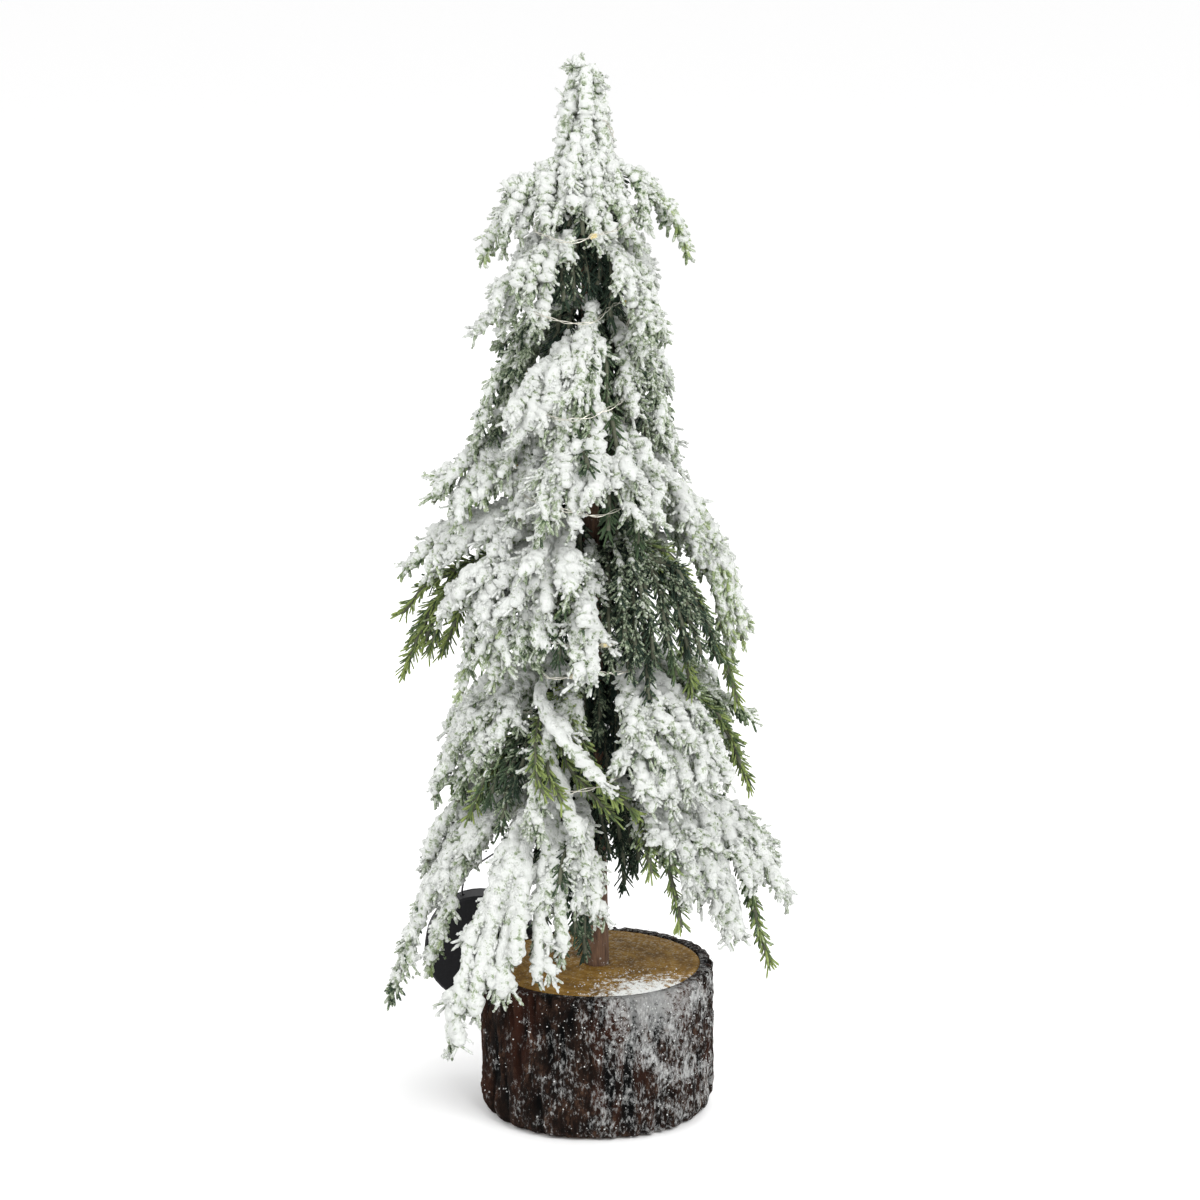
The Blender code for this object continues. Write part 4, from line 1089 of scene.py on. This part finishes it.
drops_bm, chips_bm = bmesh.new(), bmesh.new()
mark = 0.3 * DROP_PITCH
while mark < string_length - DROP_L:
    index = round(mark / string_step)
    middle = (strands[0][index][0] + strands[1][index][0]) / 2
    way = (strands[0][index + 3][0] - strands[0][index - 3][0]).normalized()
    turn = way.to_track_quat("Z", "Y").to_matrix().to_4x4()
    bmesh.ops.create_uvsphere(drops_bm, u_segments=14, v_segments=10, radius=1.0,
                              matrix=Matrix.Translation(middle) @ turn
                              @ Matrix.Diagonal((DROP_R, DROP_R * 0.85, DROP_L / 2, 1)))
    bmesh.ops.create_cube(chips_bm, size=1.0,
                          matrix=Matrix.Translation(middle) @ turn
                          @ Matrix.Diagonal((1.0 * MM, 0.7 * MM, 1.6 * MM, 1)))
    mark += DROP_PITCH
resin_drops = object_from("light_drops", drops_bm, resin)
lamp_chips = object_from("light_chips", chips_bm, chip, smooth=False)
for piece in (resin_drops, lamp_chips):
    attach(piece, "tree")


# Coin-cell case --------------------------------------------------------------------------
# Two shells of black moulded plastic, fine-textured, round two coin cells.

moulded, moulded_tree, moulded_shader = new_finish("black_moulding", 0.62)
moulded_shader.inputs["Specular IOR Level"].default_value = 0.15
moulded_place = add_node(moulded_tree, "ShaderNodeTexCoord").outputs["Object"]
moulded_grain = add_node(moulded_tree, "ShaderNodeTexNoise", {"Vector": moulded_place,
                                                              "Scale": 2600.0, "Detail": 2.0})
moulded_tone = add_node(moulded_tree, "ShaderNodeValToRGB",
                        {"Fac": moulded_grain.outputs["Fac"]})
moulded_tone.color_ramp.elements[0].color = (0.004, 0.004, 0.005, 1)
moulded_tone.color_ramp.elements[1].color = (0.016, 0.016, 0.018, 1)
moulded_tree.links.new(moulded_tone.outputs["Color"], moulded_shader.inputs["Base Color"])
moulded_bump = add_node(moulded_tree, "ShaderNodeBump", {"Height": moulded_grain.outputs["Fac"],
                                                         "Strength": 0.25, "Distance": 0.0001})
moulded_tree.links.new(moulded_bump.outputs["Normal"], moulded_shader.inputs["Normal"])
for cad_node in ("case_shell", "case_lid", "switch_slider"):
    refinish(cad_node, moulded)

plated, plated_tree, plated_shader = new_finish("plated_can", 0.3, 1.0)
plated_place = add_node(plated_tree, "ShaderNodeTexCoord").outputs["Object"]
plated_lines = add_node(plated_tree, "ShaderNodeMapping", {"Vector": plated_place,
                                                           "Scale": (60.0, 2500.0, 2500.0)})
plated_grain = add_node(plated_tree, "ShaderNodeTexNoise",
                        {"Vector": plated_lines.outputs["Vector"], "Scale": 1.0,
                         "Detail": 3.0})
plated_tone = add_node(plated_tree, "ShaderNodeValToRGB", {"Fac": plated_grain.outputs["Fac"]})
plated_tone.color_ramp.elements[0].color = (0.42, 0.42, 0.41, 1)
plated_tone.color_ramp.elements[1].color = (0.70, 0.70, 0.68, 1)
plated_tree.links.new(plated_tone.outputs["Color"], plated_shader.inputs["Base Color"])
plated_rough = add_node(plated_tree, "ShaderNodeMapRange", {"Value": plated_grain.outputs["Fac"],
                                                            "To Min": 0.2, "To Max": 0.45})
plated_tree.links.new(plated_rough.outputs["Result"], plated_shader.inputs["Roughness"])
for cad_node in ("cell_left", "cell_right"):
    refinish(cad_node, plated)

board, board_tree, board_shader = new_finish("board_lacquer", 0.35)
board_place = add_node(board_tree, "ShaderNodeTexCoord").outputs["Object"]
board_weave = add_node(board_tree, "ShaderNodeTexBrick",
                       {"Vector": board_place, "Scale": 1400.0, "Mortar Size": 0.02,
                        "Color1": (0.010, 0.075, 0.028, 1), "Color2": (0.014, 0.095, 0.036, 1),
                        "Mortar": (0.006, 0.050, 0.018, 1)})
board_tree.links.new(board_weave.outputs["Color"], board_shader.inputs["Base Color"])
board_fleck = add_node(board_tree, "ShaderNodeTexNoise", {"Vector": board_place,
                                                          "Scale": 900.0, "Detail": 2.0})
board_rough = add_node(board_tree, "ShaderNodeMapRange", {"Value": board_fleck.outputs["Fac"],
                                                          "To Min": 0.25, "To Max": 0.5})
board_tree.links.new(board_rough.outputs["Result"], board_shader.inputs["Roughness"])
refinish("case_board", board)
